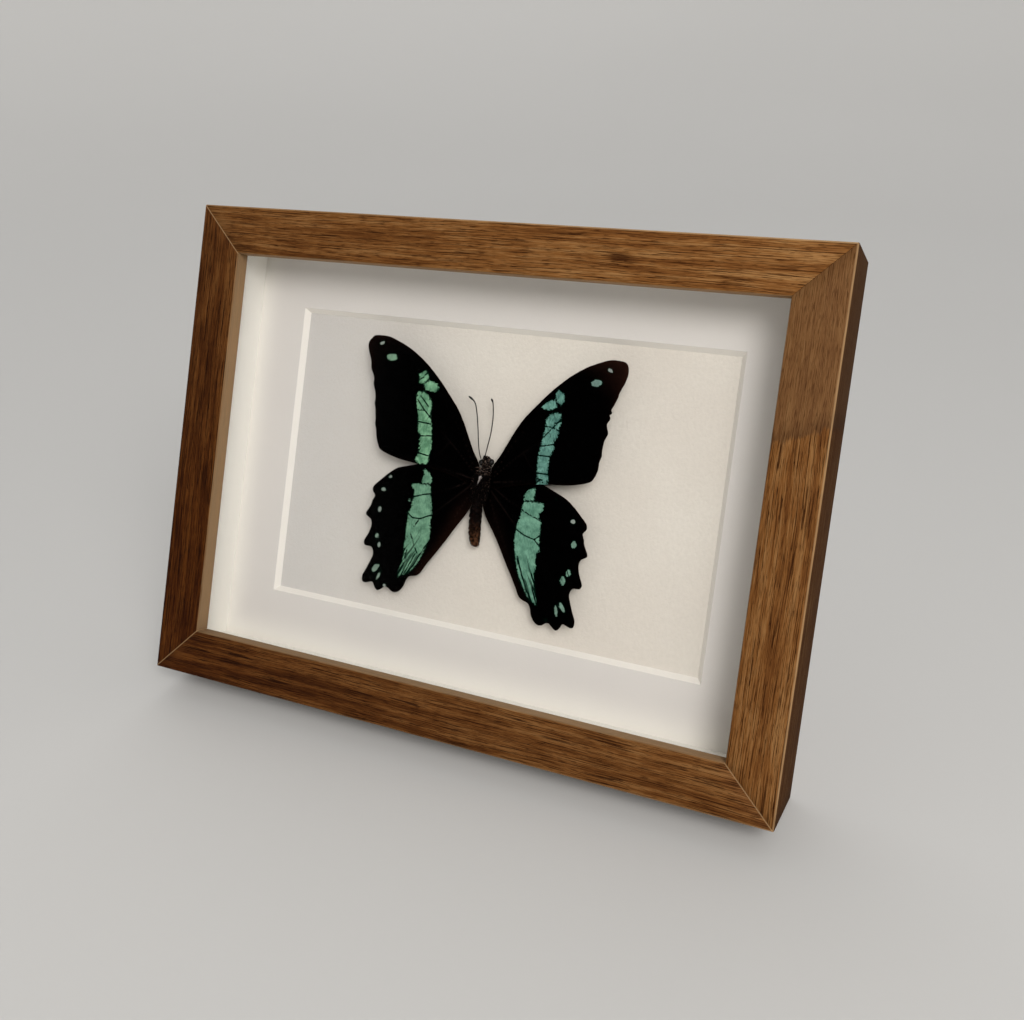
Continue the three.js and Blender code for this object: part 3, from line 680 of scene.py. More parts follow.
# Each spot is (outline, how far its green has faded to grey, 0 to 1). A crack is a dark line.
MARKINGS = {
    "forewing_left": {
        "bands": [
            [(24.7, 23.7), (24.9, 21.5), (24.5, 19), (23.7, 16.1), (23.5, 14.6), (23.3, 12.1),
             (22.3, 10.1), (22.3, 7.6), (22.1, 5.1), (22.9, 2.6), (21.6, 1.6), (18.8, 1.7),
             (18.3, 4.1), (18.1, 7.1), (18.3, 10.6), (18.8, 13.6), (19.3, 15.5), (19.8, 18.5),
             (19.5, 20.5), (20.7, 22.5), (22.6, 23.9)],
            [(25.1, 29), (24.2, 29.4), (23, 30.4), (22.1, 29.7), (21.6, 28.5), (21.9, 27.5),
             (23.3, 26.2), (24.9, 26), (24.7, 27.5)],
            [(23, 26), (21.4, 27.5), (18.8, 26.7), (17.9, 25), (18.8, 24.2), (20.7, 24.1),
             (22.6, 24.7)],
        ],
        "spots": [
            (spot(38.1, 37.1, 2.2, 1.1, -30), 1),
            (spot(34.4, 33.1, 3.9, 2.3, -8), 0.3),
        ],
        "cracks": [
            [(24.6, 21.4), (22.1, 18.5), (19.6, 16.2)], [(23.7, 22.6), (20.7, 19.5)],
            [(24, 14.5), (19.1, 14.2)], [(22.8, 10.1), (18.1, 10.7)], [(22.6, 5), (18, 4.3)],
            [(24.6, 18), (21.8, 18.1)], [(22.1, 29.9), (23.6, 27.9), (25, 27.2)],
        ],
    },
    "forewing_right": {
        "bands": [
            [(19, 21.8), (21.1, 22.8), (22.9, 22.5), (23.2, 20), (22.8, 18), (22.6, 15.6),
             (21.6, 14.1), (22, 12.1), (21.1, 9.6), (20.8, 7.6), (21, 5.1), (21.6, 2.6),
             (21.1, 1.2), (17.7, 0.9), (17.6, 3.1), (17.2, 6.1), (17, 9.1), (17.5, 12.1),
             (17.9, 15), (18.1, 18), (18, 20)],
            [(21.1, 29.4), (23.2, 28), (23.2, 26), (22.4, 24.7), (20.3, 26.5), (20.1, 28)],
            [(16.2, 23.7), (17.5, 25.2), (19.5, 26.4), (21.1, 25), (21.1, 24), (19, 23),
             (16.9, 23.2)],
        ],
        "spots": [
            (spot(36.4, 36.5, 2.3, 1.1, -25), 1),
            (spot(32.7, 32.5, 3.7, 2.2, 10), 0.35),
        ],
        "cracks": [
            [(18, 14.9), (20.6, 18), (23, 21)], [(18, 18.2), (20.6, 18.2), (23, 17.4)],
            [(21.1, 19.5), (23.4, 20.5)], [(17, 9.5), (21.4, 9.7)], [(17.2, 4.3), (21.4, 4.4)],
            [(17.8, 2.6), (21.6, 2.4)], [(17.4, 12.2), (21.8, 13.4)], [(18, 1.9), (19.8, 1.8)],
        ],
    },
    "hindwing_left": {
        "bands": [
            [(22.8, -5.3), (20, -4.9), (16.4, -5.1), (15.9, -7.8), (15.4, -10.8), (14.9, -13.8),
             (15.1, -16.3), (14.8, -19.3), (14.9, -21.6), (15.7, -24.3), (16.6, -26.8),
             (17.8, -29.6), (19.5, -32.3), (21.4, -34), (22.1, -33.7), (23.1, -34.5),
             (24, -35.2), (23.8, -33.2), (23.1, -30.2), (22.8, -27.2), (23.1, -24.2),
             (22.6, -22.2), (23.1, -20), (22.8, -17.8), (22.6, -16.3), (23.1, -14.5),
             (22.1, -13.3), (21.9, -10.8), (21.6, -8.8), (21.6, -7.3), (22.7, -6.3)],
            [(19.5, -0.3), (18.5, -0.2), (16.6, -2.1), (16, -3.8), (16.9, -4.7), (19.5, -4.6),
             (19.6, -3.3), (19.1, -1.8)],
        ],
        "spots": [
            (spot(30.3, -4.2, 1.5, 1.2), 1), (spot(32.1, -8.5, 1.9, 1.3), 0.8),
            (spot(32.6, -14.9, 1.4, 2), 0.9), (spot(32.4, -23.4, 1.6, 2), 0.6),
            (spot(31.4, -26, 1.2, 2), 0.9), (spot(22.9, -10.5, 0.9, 1.1), 0.2),
            ([(33.1, -34.1), (32.1, -32.3), (30.2, -32), (30.7, -33.6), (32.1, -35.3)], 0.5),
            ([(31.2, -37.1), (30.7, -35.1), (29.5, -33.6), (29.9, -35.9), (30.7, -37.3)], 0.7),
            (spot(27.9, -38.4, 1.5, 1.1), 1),
        ],
        "cracks": [
            [(21.9, -9.4), (18.5, -8.1), (15.8, -7.5)],
            [(23.3, -14.2), (21.2, -15.8), (18.5, -15.7), (16.4, -14.6), (14.8, -14)],
            [(18.6, -15.7), (20.4, -18.4)], [(19, -26.8), (21.9, -33.7)],
            [(21.2, -21), (18.4, -26.6)], [(21.8, -26), (22.8, -32)],
        ],
    },
    "hindwing_right": {
        "bands": [
            [(14.8, -4.4), (18.1, -4.1), (21.4, -4), (21.5, -6.1), (20.4, -7.1), (20.5, -8.6),
             (21.5, -9.6), (21.2, -11.1), (21.5, -13.6), (21.5, -15.6), (22, -18.3),
             (21.1, -18.8), (21, -21.6), (21.5, -23.1), (21, -25.6), (22, -29.6), (23.3, -34.5),
             (20.7, -33.3), (18.4, -30.6), (16.3, -27.6), (15, -24.2), (14, -20.7),
             (13.2, -17.2), (13.2, -13.7), (13.5, -11.2), (14.3, -8.7), (14.3, -6.7)],
            [(18.1, 0.1), (16.3, -0.4), (14.8, -2.2), (14.5, -4.1), (18.1, -3.8)],
        ],
        "spots": [
            (spot(31.3, -7.8, 1.8, 1.4), 1), (spot(32.5, -14.4, 1.8, 2.4), 0.3),
            (spot(32, -22.9, 1.7, 2.3), 0.2), (spot(30.5, -25.4, 1.9, 2.8), 0.2),
            (spot(29.6, -34.6, 1.2, 3.6, 12), 0.4), (spot(31.4, -33.2, 1.3, 3.6, 35), 0.4),
            (spot(26.7, -37.9, 1, 1), 1), (spot(25.1, -2.1, 0.5, 0.5), 1),
        ],
        "cracks": [
            [(14, -6.7), (16.6, -7.9), (21.2, -9.3)],
            [(13.2, -13), (16.3, -14.4), (19.7, -15.1), (21.7, -13.4)],
            [(19.7, -15.1), (22, -17)], [(16, -24), (19.4, -31)], [(14.9, -21), (17.6, -27.6)],
        ],
    },
}
print("veins:", len(FOREWING_VEINS), "and", len(HINDWING_VEINS))

# %% [markdown]
# ## The wings: distances
# The shader has to know how far each point lies from a band's edge and from the nearest vein.
# Working that out in nodes would take hundreds of them. It is easier to measure once in Python
# and store the distances on the mesh, where they blend smoothly between points.

# %% Measure distances to lines and outlines
def line_distance(points, line):
    """Distance from each point to the nearest place on a run of straight pieces."""
    line = np.asarray(line, float)
    best = np.full(len(points), 1e9)
    for start, end in zip(line[:-1], line[1:]):
        along = end - start
        share = np.clip((points - start) @ along / (along @ along), 0, 1)
        best = np.minimum(best, np.linalg.norm(points - start - share[:, None] * along, axis=1))
    return best


def inside(points, outline):
    """True where a point lies within a closed outline."""
    outline = np.asarray(outline, float)
    crossings = np.zeros(len(points), bool)
    for (x0, y0), (x1, y1) in zip(outline, np.roll(outline, -1, axis=0)):
        if y0 == y1:
            continue
        spans = (y0 > points[:, 1]) != (y1 > points[:, 1])
        crossings ^= spans & (points[:, 0] < x0 + (points[:, 1] - y0) * (x1 - x0) / (y1 - y0))
    return crossings


def depth_within(points, outline):
    """Millimetres inside an outline, or minus the distance to it from outside."""
    distance = line_distance(points, [*outline, outline[0]])
    return np.where(inside(points, outline), distance, -distance)


def curve_through(points, steps=6):
    """A smooth line through the given points."""
    points = np.asarray(points, float)
    padded = np.vstack([2 * points[0] - points[1], points, 2 * points[-1] - points[-2]])
    line = []
    for a, b, c, d in zip(padded[:-3], padded[1:-2], padded[2:-1], padded[3:]):
        for step in range(steps):
            t = step / steps
            line.append(0.5 * (2 * b + (c - a) * t + (2 * a - 5 * b + 4 * c - d) * t**2
                               + (3 * b - a - 3 * c + d) * t**3))
    return np.array(line + [points[-1]])


# %% [markdown]
# ## The wings: the mesh
# The outline of each wing is read off its CAD node, so the detailed wing lies where the plain
# one lay. It is filled with points on a fine grid, with extra rows along each vein so that it
# can stand up as a real ridge, and a Delaunay triangulation joins them.

# %% Read a CAD wing's outline
def wing_outline(node, side):
    """The edge of a CAD wing's front face, in order, as [out, up]."""
    solid = bmesh.new()
    solid.from_mesh(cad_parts[node].data)
    bmesh.ops.remove_doubles(solid, verts=solid.verts, dist=1e-6)
    solid.transform(upright)
    solid.normal_update()
    front = {face for face in solid.faces if face.normal.y < -0.8}
    links = {}
    for edge in solid.edges:
        if len(front.intersection(edge.link_faces)) == 1:
            a, b = edge.verts
            links.setdefault(a, []).append(b)
            links.setdefault(b, []).append(a)
    here = next(iter(links))
    loop, before = [], None
    while here not in loop[:1]:
        loop.append(here)
        onward = links[here][0] if links[here][0] is not before else links[here][1]
        before, here = here, onward
    edge = np.array([(side * (v.co.x - AXIS_X), v.co.z - WING_ROOT_Z) for v in loop])
    solid.free()
    return edge


# %% Fill the outline with a fine mesh
GRID = 0.42
VEIN_ROWS = (-0.3, -0.16, 0, 0.16, 0.3)
EDGE_STEP = 0.3
EDGE_FRAY = 0.022
EDGE_CLEARANCE = 0.16
MARGIN_FROM = 24
WING_THICKNESS = 0.12


def ragged_edge(outline):
    """Adds points round the edge and frays it a little, as the fringe of scales does."""
    closed = np.vstack([outline, outline[:1]])
    steps = np.linalg.norm(np.diff(closed, axis=0), axis=1)
    pieces = []
    for start, end, length in zip(closed[:-1], closed[1:], steps):
        count = max(1, round(length / EDGE_STEP))
        pieces.append(start + (end - start) * np.arange(count)[:, None] / count)
    dense = np.concatenate(pieces)
    return dense + rng.normal(0, EDGE_FRAY, dense.shape)


def scalloped(outline, lines):
    """Draws the outer margin in a little between the veins, which hold it out."""
    vein = np.min([line_distance(outline, line) for line in lines], axis=0)
    inward = unit(outline.mean(axis=0) - outline)
    outer = np.clip((outline[:, 0] - MARGIN_FROM) / 8, 0, 1)
    return outline + (0.45 * outer * (np.clip(vein / 1.6, 0, 1) - 0.6))[:, None] * inward


def fill(outline, lines):
    """Triangles that cover the outline, with rows of points along the given lines."""
    low, high = outline.min(0), outline.max(0)
    columns = np.arange(low[0], high[0], GRID)
    rows = np.arange(low[1], high[1], GRID * math.sqrt(3) / 2)
    grid = np.array([(x + GRID / 2 * (i % 2), y) for i, y in enumerate(rows) for x in columns])
    grid += rng.normal(0, 0.03, grid.shape)
    near_line = np.min([line_distance(grid, line) for line in lines], axis=0)
    grid = grid[near_line > GRID]
    along = []
    for line in lines:
        heading = unit(np.gradient(line, axis=0))
        aside = np.stack([-heading[:, 1], heading[:, 0]], axis=1)
        along += [line + offset * aside for offset in VEIN_ROWS]
    points = np.concatenate([grid, *along])
    points = points[depth_within(points, outline) > EDGE_CLEARANCE]
    everything = [Vector(p) for p in np.concatenate([outline, points])]
    loop = list(range(len(outline)))
    corners, _, triangles, *_ = delaunay_2d_cdt(everything, [], [loop], 1, 1e-4)
    return np.array([tuple(c) for c in corners]), [list(t) for t in triangles]


# %% [markdown]
# ## The wings: the scales
# The ground is velvety black that browns towards the margins. The bands are a blue-green that
# thins to dark green at their frayed edges, where single scales stand out. Fine dark streaks
# run down the lower end of each hindwing's band, along the veins. Scales lie in rows a tenth of
# a millimetre apart, which only shows close up, as a soft nap.

# %% The wing finish
def wing_finish(name, bright, deep, streaked_below, cracked):
    wing = Finish(name)
    flat = wing.read("flat", output=1)
    band, crack, vein = wing.read("band"), wing.read("crack"), wing.read("vein")
    out, up = wing.part(flat, 0), wing.part(flat, 1)

    tooth = wing.noise(flat, (1.7, 1.7, 1), roughness=0.6) - 0.5
    fray = wing.noise(flat, (4.5, 4.5, 1), detail=4, roughness=0.7) - 0.5
    length, side = 0.45 * out - 0.89 * up, 0.89 * out + 0.45 * up
    bend = wing.noise(flat, (0.12, 0.12, 1))
    barb = wing.noise(wing.vector(1.3 * side + 2 * bend, 0.07 * length, 3), roughness=0.6)
    faded = wing.read("faded")
    low_end = up.rise(streaked_below, streaked_below - 10) * (1 - faded)
    in_low_end = cracked + (1 - cracked) * low_end
    streak = barb.rise(0.6 - 0.08 * low_end, 0.64 - 0.07 * low_end) * in_low_end

    ragged = (1 - 1.6 * faded).most(0.25) * (2 * tooth + 1.1 * fray)
    depth = (band + ragged - 1.2 * streak * band.rise(1.8, 0.4)).most(0.001)
    gap = (crack - 0.1 + 0.3 * fray + 0.3 * tooth).most(0.001)
    rounded_blocks = depth * gap * (depth + gap).maths("POWER", depth + gap, -1)
    covered = rounded_blocks.rise(0.07, 0.15) * (1 - 0.8 * streak)
    fringe = (band + 0.6 * fray).rise(-0.4, 0.2) * 0.7
    shade = wing.noise(flat, (0.35, 0.35, 1))
    row = wing.noise(flat, (2.2, 0.9, 1), roughness=0.65)
    green = wing.mix((0.7 * shade + 0.5 * row).rise(0.44, 0.78), deep, bright)
    colour = wing.mix(0.8 * faded, green, (150, 150, 148))

    brown = (wing.read("brown") + 0.25 * fray).rise(0, 1)
    black = wing.mix(brown, (2, 1, 1), (42, 27, 22))
    # Painted highlight: the veins near the root are painted paler, as a glint along them.
    vein_glint = wing.mix(vein.rise(0.4, 0.1) * out.rise(19, 4) * 0.35, black, (40, 31, 29))
    ground = wing.mix(fringe, vein_glint, (8, 34, 26))
    nap = wing.noise(flat, (11, 11, 1), roughness=0.6)
    return wing.set(
        Base_Color=wing.mix(covered, ground, colour),
        Roughness=0.7 + 0.2 * nap,
        Normal=wing.relief(0.05 * nap + 0.03 * row),
        Specular_IOR_Level=0.01,
    )


# Each is (bright green, deep green, height below which the band is streaked, how streaked it is
# above that, and the wing's own place in the noise).
WING_LOOKS = {
    "forewing_left": ((134, 184, 147), (84, 126, 98), -8, 0.4, 2.5),
    "forewing_right": ((118, 168, 154), (70, 108, 101), -8, 0.5, 11),
    "hindwing_left": ((122, 166, 138), (86, 124, 102), -17, 0.12, 23),
    "hindwing_right": ((122, 170, 147), (84, 126, 108), -17, 0.12, 37),
}

# %% Build the four wings
# depth is how far the root lies behind the frame's front, and rise is how far the wing comes
# forward for each millimetre out. set is how far the wing's veins lie from where they are
# drawn. reach is how far the root runs on towards the body, within root_zone. shoulder is how
# far the outer shoulder is raised.
WINGS = {
    "forewing": {
        "depth": 19.025, "rise": 0.115, "veins": FOREWING_VEINS,
        "set": {"left": (-0.5, 0), "right": (0.5, 0)},
        "reach": {"left": 1.2, "right": 1.6}, "root_zone": (3, 7, 5.5),
        "shoulder": {"left": 0, "right": 0},
    },
    "hindwing": {
        "depth": 19.775, "rise": 0.08, "veins": HINDWING_VEINS,
        "set": {"left": (0.45, 0.35), "right": (-0.45, -0.35)},
        "reach": {"left": 1.2, "right": 2.4}, "root_zone": (-8, -22, 9),
        "shoulder": {"left": 0.8, "right": 0.15},
    },
}
ROOT_OUT = 3.3
SHOULDER_OUT = 29.5
APEX_FROM = 62


def reach_body(edge, reach, zone):
    """Runs the wing's root on under the body's hair. The CAD wing stops short of the body."""
    full_until, none_after, widest = zone
    fade = np.clip((edge[:, 1] - none_after) / (full_until - none_after), 0, 1)
    near = np.clip((widest - edge[:, 0]) / (widest - ROOT_OUT), 0, 1)
    return edge - np.stack([reach * fade * near, np.zeros(len(edge))], axis=1)


def brownness(name, points, edge):
    """How far the black has faded to brown: at the margins, and along the hindwing's inside."""
    margin = 0.25 * np.exp(-np.maximum(edge, 0) / 0.6)
    if name.startswith("forewing"):
        apex = np.clip((points[:, 0] + points[:, 1] - APEX_FROM) / 16, 0, 1)
        return margin + (0.6 if name.endswith("right") else 0.2) * apex
    inner = line_distance(points, [(3.4, -5), (11, -23.4), (16, -32)])
    fold = np.exp(-((inner / 3.2) ** 2)) * np.clip(-points[:, 1] / 12, 0, 1)
    return margin + (0.2 if name.endswith("right") else 0.34) * fold


def marks(name, points):
    """Depth inside the nearest band or spot, how faded that is, and distance to a crack."""
    outlines = [(band, 0) for band in MARKINGS[name]["bands"]] + MARKINGS[name]["spots"]
    depths = np.array([depth_within(points, outline) for outline, _ in outlines])
    nearest = depths.argmax(axis=0)
    faded = np.array([fade for _, fade in outlines])[nearest]
    cracks = [line_distance(points, line) for line in MARKINGS[name]["cracks"]]
    return depths.max(axis=0), faded, np.min(cracks, axis=0)


def build_wing(kind, hand):
    name = f"{kind}_{hand}"
    *look, own_place = WING_LOOKS[name]
    side = -1 if hand == "left" else 1
    facts = WINGS[kind]
    shift = np.array(facts["set"][hand])
    edge = reach_body(wing_outline(name, side), facts["reach"][hand], facts["root_zone"])
    on_shoulder = np.exp(-(((edge[:, 0] - SHOULDER_OUT) / 4) ** 2)) * (edge[:, 1] > -9)
    edge[:, 1] += facts["shoulder"][hand] * on_shoulder
    lines = [curve_through(line) + shift for line in facts["veins"]]
    outline = scalloped(ragged_edge(edge), lines)
    points, triangles = fill(outline, lines)

    vein = np.min([line_distance(points, line) for line in lines], axis=0)
    edge = line_distance(points, [*outline, outline[0]])
    ridge = 0.1 * np.exp(-((vein / 0.14) ** 2))
    pleat = 0.07 * np.cos(np.pi * np.clip(vein / 2.2, 0, 1))
    camber = 0.16 * np.sin(points[:, 0] / 9 + points[:, 1] / 14)
    y = facts["depth"] - facts["rise"] * points[:, 0] - camber - pleat
    x = AXIS_X + side * points[:, 0]
    z = WING_ROOT_Z + points[:, 1]
    front = np.stack([x, y - WING_THICKNESS / 2 - ridge, z], axis=1)
    back = np.stack([x, y + WING_THICKNESS / 2 + 0.5 * ridge, z], axis=1)

    count = len(points)
    faces = [tri[::side] for tri in triangles]
    faces += [[p + count for p in face[::-1]] for face in faces]
    sides = dict.fromkeys(
        pair for face in faces[:len(triangles)] for pair in zip(face, face[1:] + face[:1]))
    faces += [[b, a, a + count, b + count] for a, b in sides if (b, a) not in sides]

    piece = add_piece(name + "_scaled", np.concatenate([front, back]), faces,
                      wing_finish(f"{kind}_scales_{hand}", *look), "wing_scales", stands_for=[name])
    own = points - shift
    band, faded, crack = marks(name, own)
    for label, values in {
        "flat": np.column_stack([own, np.full(count, own_place)]),
        "band": band, "faded": faded, "crack": crack, "vein": vein,
        "brown": brownness(name, own, edge),
    }.items():
        store(piece, label, np.concatenate([values, values]))


for kind in WINGS:
    for hand in ("left", "right"):
        build_wing(kind, hand)

# %% [markdown]
# ## The body
# Head, thorax and abdomen grew as one, so they are one mesh: rings round a slightly bent line,
# wide at the chest and pinched at the waist and neck. The abdomen has a crease between each of
# its segments. Two round eyes sit beside the head.

# %% Rings round a bent line
def tube(centres, widths, depths, sides):
    """Rings of points round a rising line, as (points, faces)."""
    turns = np.linspace(0, math.tau, sides, endpoint=False)
    across, through = np.outer(widths, np.cos(turns)), np.outer(depths, np.sin(turns))
    points = centres[:, None] + np.stack([across, through, np.zeros_like(across)], axis=2)
    return points.reshape(-1, 3), ring_faces(len(centres), sides)


def joined(parts):
    """Several (points, faces) as one."""
    points, faces, start = [], [], 0
    for part_points, part_faces in parts:
        points.append(part_points)
        faces += [[index + start for index in face] for face in part_faces]
        start += len(part_points)
    return np.concatenate(points), faces


BODY_DEPTH = 19.2
# Height, sideways place, half-width and half-depth of the body, from the tip of the tail up.
BODY_STATIONS = np.array([
    (55, -0.7, 0.5, 0.5), (55.4, -0.85, 1.1, 1), (56.3, -1.1, 1.5, 1.4),
    (58.8, -1.5, 1.85, 1.75), (62.5, -1.8, 1.9, 1.8), (66, -1.95, 1.85, 1.8),
    (69.2, -1.8, 1.6, 1.6), (70.8, -1.65, 1.55, 1.6), (72.4, -1.4, 2.0, 1.95),
    (74.5, -1.15, 2.35, 2.3), (76.4, -0.85, 2.1, 2.1), (77.8, -0.5, 1.5, 1.5),
    (78.7, -0.35, 1.1, 1.15), (79.4, -0.25, 1.25, 1.3), (80.6, -0.2, 1.5, 1.45),
    (81.8, -0.3, 1.35, 1.35), (82.6, -0.6, 0.85, 0.9), (82.9, -0.7, 0.2, 0.2),
])
ABDOMEN = (56.2, 70.6)
SEGMENTS = 8


def body_shape(rings=150):
    """Smooth rings through the stations, with a crease between the abdomen's segments."""
    heights = np.linspace(BODY_STATIONS[0, 0], BODY_STATIONS[-1, 0], rings)
    x, width, depth = (
        np.interp(heights, BODY_STATIONS[:, 0], column) for column in BODY_STATIONS[:, 1:].T)
    soft = np.array([1, 2, 3, 2, 1]) / 9
    width[2:-2] = np.convolve(width, soft, "same")[2:-2]
    depth[2:-2] = np.convolve(depth, soft, "same")[2:-2]
    share = (heights - ABDOMEN[0]) / (ABDOMEN[1] - ABDOMEN[0])
    crease = np.abs(np.cos(math.pi * SEGMENTS * share)) ** 14
    scale = 1 - 0.1 * crease * ((share > 0) & (share < 1))
    centres = np.stack([x, np.full(rings, BODY_DEPTH), heights], axis=1)
    return centres, width * scale, depth * scale


def lumpy(points, size, height):
    """Moves points in and out of the body's middle line by smooth random lumps."""
    lumps = np.array([noise.noise(Vector(point / size)) for point in points])
    middle = np.stack([np.interp(points[:, 2], BODY_STATIONS[:, 0], BODY_STATIONS[:, 1]),
                       np.full(len(points), BODY_DEPTH), points[:, 2]], axis=1)
    away = points - middle
    reach = np.maximum(np.linalg.norm(away, axis=1, keepdims=True), 0.3)
    return points + height * lumps[:, None] * away / reach


centres, widths, depths = body_shape()
body_points, body_faces = tube(centres, widths, depths, 64)
body_points = lumpy(lumpy(body_points, 1.1, 0.26), 0.4, 0.16)
print("body points:", len(body_points))

# %% [markdown]
# ## The body's finish and hair
# Dried skin is dark brown, paler on the abdomen, with a dull shine. Most of what one sees on
# the thorax is hair, so hair is modelled: thin three-sided blades that stand out from the skin
# and lean towards the tail, all joined in one mesh.

# %% The body finish
def body_finish():
    skin = Finish("dried_skin")
    place = skin.place()
    height = skin.part(place, 2)
    mottle = skin.noise(place, 1.3, detail=4, roughness=0.65)
    grain = skin.noise(place, (6, 6, 4))
    amount = (mottle * 0.9 + grain * 0.3).rise(0.53, 0.7)
    thorax = skin.mix(amount, (3, 2, 2), (20, 12, 10))
    abdomen = skin.mix(amount, (3, 1, 1), (24, 11, 6))
    tail = skin.mix(amount, (20, 10, 5), (92, 62, 44))
    lower = (height + 4 * (mottle - 0.5)).rise(71, 66)
    lowest = (height + 5 * (mottle - 0.5)).rise(64, 57)
    bristle = skin.noise(place, 2.4, detail=2)
    glint = bristle.rise(0.585, 0.62) * height.rise(76.8, 78.2)
    upper = skin.mix(0.8 * glint, thorax, (140, 122, 112))
    return skin.set(
        Base_Color=skin.mix(lowest, skin.mix(lower, upper, abdomen), tail),
        Roughness=0.3 + 0.4 * grain,
        Normal=skin.relief(0.12 * grain + 0.15 * mottle),
        Specular_IOR_Level=0.04,
    )


def hair_finish():
    hair = Finish("body_hair")
    place = hair.place()
    tone = hair.read("tone")
    patchy = hair.noise(place, 0.9, detail=2)
    clump = hair.noise(place, 1.9, detail=1)
    near_head = hair.part(place, 2).rise(76.5, 79)
    dark = hair.mix((tone * 0.7 + patchy * 0.6).rise(0.5, 1.1), (2, 1, 1), (19, 10, 7))
    glint = tone.rise(0.3, 0.6) * clump.rise(0.6 - 0.03 * near_head, 0.63 - 0.03 * near_head)
    glinting = hair.mix(glint * (0.18 + 0.82 * near_head), dark, (148, 122, 110))
    # The pale attribute paints the tuft's hair near white, a painted highlight.
    return hair.set(
        Base_Color=hair.mix(hair.read("pale"), glinting, (214, 203, 198)),
        Roughness=0.5 + 0.2 * patchy,
        Specular_IOR_Level=0.04,
    )


dried_skin = body_finish()
body_hair = hair_finish()
add_piece("body_skin", body_points, body_faces, dried_skin, "body_hair",
          stands_for=["butterfly_body"])

# %% Blades of hair
BLADE_POINTS = 7


def blades(roots, directions, lengths, thickness, droop):
    """Three-sided blades that narrow to a point and bend by droop, as (points, faces)."""
    points, faces = [], []
    for root, direction, length in zip(roots, directions, lengths):
        aside = np.cross(direction, rng.normal(size=3))
        aside /= np.linalg.norm(aside)
        third = np.cross(direction, aside)
        ring = [aside * math.cos(a) + third * math.sin(a) for a in (0, 2.1, 4.2)]
        start = len(points)
        middle = root + direction * length * 0.55 + droop * length * 0.2
        points += [root + corner * thickness for corner in ring]
        points += [middle + corner * thickness * 0.75 for corner in ring]
        points.append(root + direction * length * 0.95 + droop * length * 0.75)
        for k in range(3):
            after = (k + 1) % 3
            faces.append([start + k, start + after, start + 3 + after, start + 3 + k])
            faces.append([start + 3 + k, start + 3 + after, start + 6])
    return np.array(points), faces


# %% Coats of hair for the body, the shoulders and one tuft painted pale as a highlight
THORAX_FROM, HEAD_FROM = 70.5, 79.2


def body_coat(count):
    """Hair all over: long and leaning tailwards on the thorax, short on the abdomen."""
    weights = np.where(centres[:, 2] > THORAX_FROM, 1.0, 0.3) * widths
    ring = rng.choice(len(centres), count, p=weights / weights.sum())
    turn = rng.uniform(0, math.tau, count)
    outward = np.stack([np.cos(turn), np.sin(turn), np.zeros(count)], axis=1)
    skin = outward * np.stack([widths[ring], depths[ring], np.zeros(count)], axis=1)
    roots = centres[ring] + skin
    height = centres[ring, 2]
    lean = np.select([height > HEAD_FROM, height > THORAX_FROM], [0.4, -0.9], -2.4)
    directions = outward + np.stack([np.zeros(count), np.zeros(count), lean], axis=1)
    longest = np.select([height > HEAD_FROM, height > THORAX_FROM], [0.5, 1.15], 0.45)
    return roots, unit(directions + rng.normal(0, 0.4, directions.shape)), longest


def shoulder_coat(count):
    """Long hair that lies out over the wing roots and hides where they join the body."""
    side = rng.choice([-1, 1], count)
    up = rng.uniform(-8, 3.2, count)
    out = rng.uniform(1.2, 2.6, count) - 0.12 * np.abs(up + 2)
    x = AXIS_X + side * out - 0.05 * (3 - up)
    roots = np.stack([x, 18.55 - 0.1 * out, WING_ROOT_Z + up], axis=1)
    spread = np.stack([side * rng.uniform(0.5, 1.3, count), -0.1 * np.ones(count),
                       rng.uniform(-0.8, 0.5, count)], axis=1)
    return roots, unit(spread), np.full(count, 1.5)


def highlight_tuft_coat(count):
    """A streak of hair down the left of the thorax, painted pale as a highlight."""
    share = rng.uniform(0, 1, count)[:, None]
    roots = np.array([-0.75, BODY_DEPTH - 2.2, 76.9]) * (1 - share)
    roots = roots + np.array([-1.3, BODY_DEPTH - 2.45, 74.8]) * share
    roots[:, 0] += rng.normal(0, 0.17, count) * (1.2 - share[:, 0])
    directions = np.array([-0.24, -0.25, -1.0]) + rng.normal(0, 0.08, (count, 3))
    return roots, unit(directions), np.full(count, 0.9)


def grow_hair():
    """Each coat has its own thickness, and its own paleness from 0 to 1."""
    # The tuft's paleness is a painted highlight.
    coats = [(body_coat(3200), 0.055, 0.0), (shoulder_coat(1500), 0.05, 0.0),
             (highlight_tuft_coat(110), 0.055, 0.9)]
    parts, tones, pale = [], [], []
    for (roots, directions, longest), thickness, paleness in coats:
        lengths = longest * rng.uniform(0.55, 1, len(roots))
        parts.append(blades(roots, directions, lengths, thickness, np.array([0, 0, -0.35])))
        tones.append(rng.uniform(0, 1, len(roots)))
        pale.append(np.full(len(roots), paleness))
    piece = add_piece("body_hairs", *joined(parts), body_hair, "body_hair")
    store(piece, "tone", np.repeat(np.concatenate(tones), BLADE_POINTS))
    store(piece, "pale", np.repeat(np.concatenate(pale), BLADE_POINTS))


grow_hair()

# %% [markdown]
# ## Eyes, palps and antennae
# The eyes are domes with a dull gloss. The two palps are short hairy lobes between them. Each
# antenna is a hair-thin tapering tube with faint rings that ends in a club, and it follows the
# same line as its CAD node.

# %% The eyes and the palps
def eye_finish():
    eye = Finish("eye_gloss")
    facets = eye.cells(eye.place(), 9)
    return eye.set(
        Base_Color=eye.mix(facets.rise(0.2, 0.7), (16, 10, 8), (7, 4, 4)),
        Roughness=0.3 + 0.1 * facets,
        Normal=eye.relief(0.012 * facets),
        Specular_IOR_Level=0.25,
    )


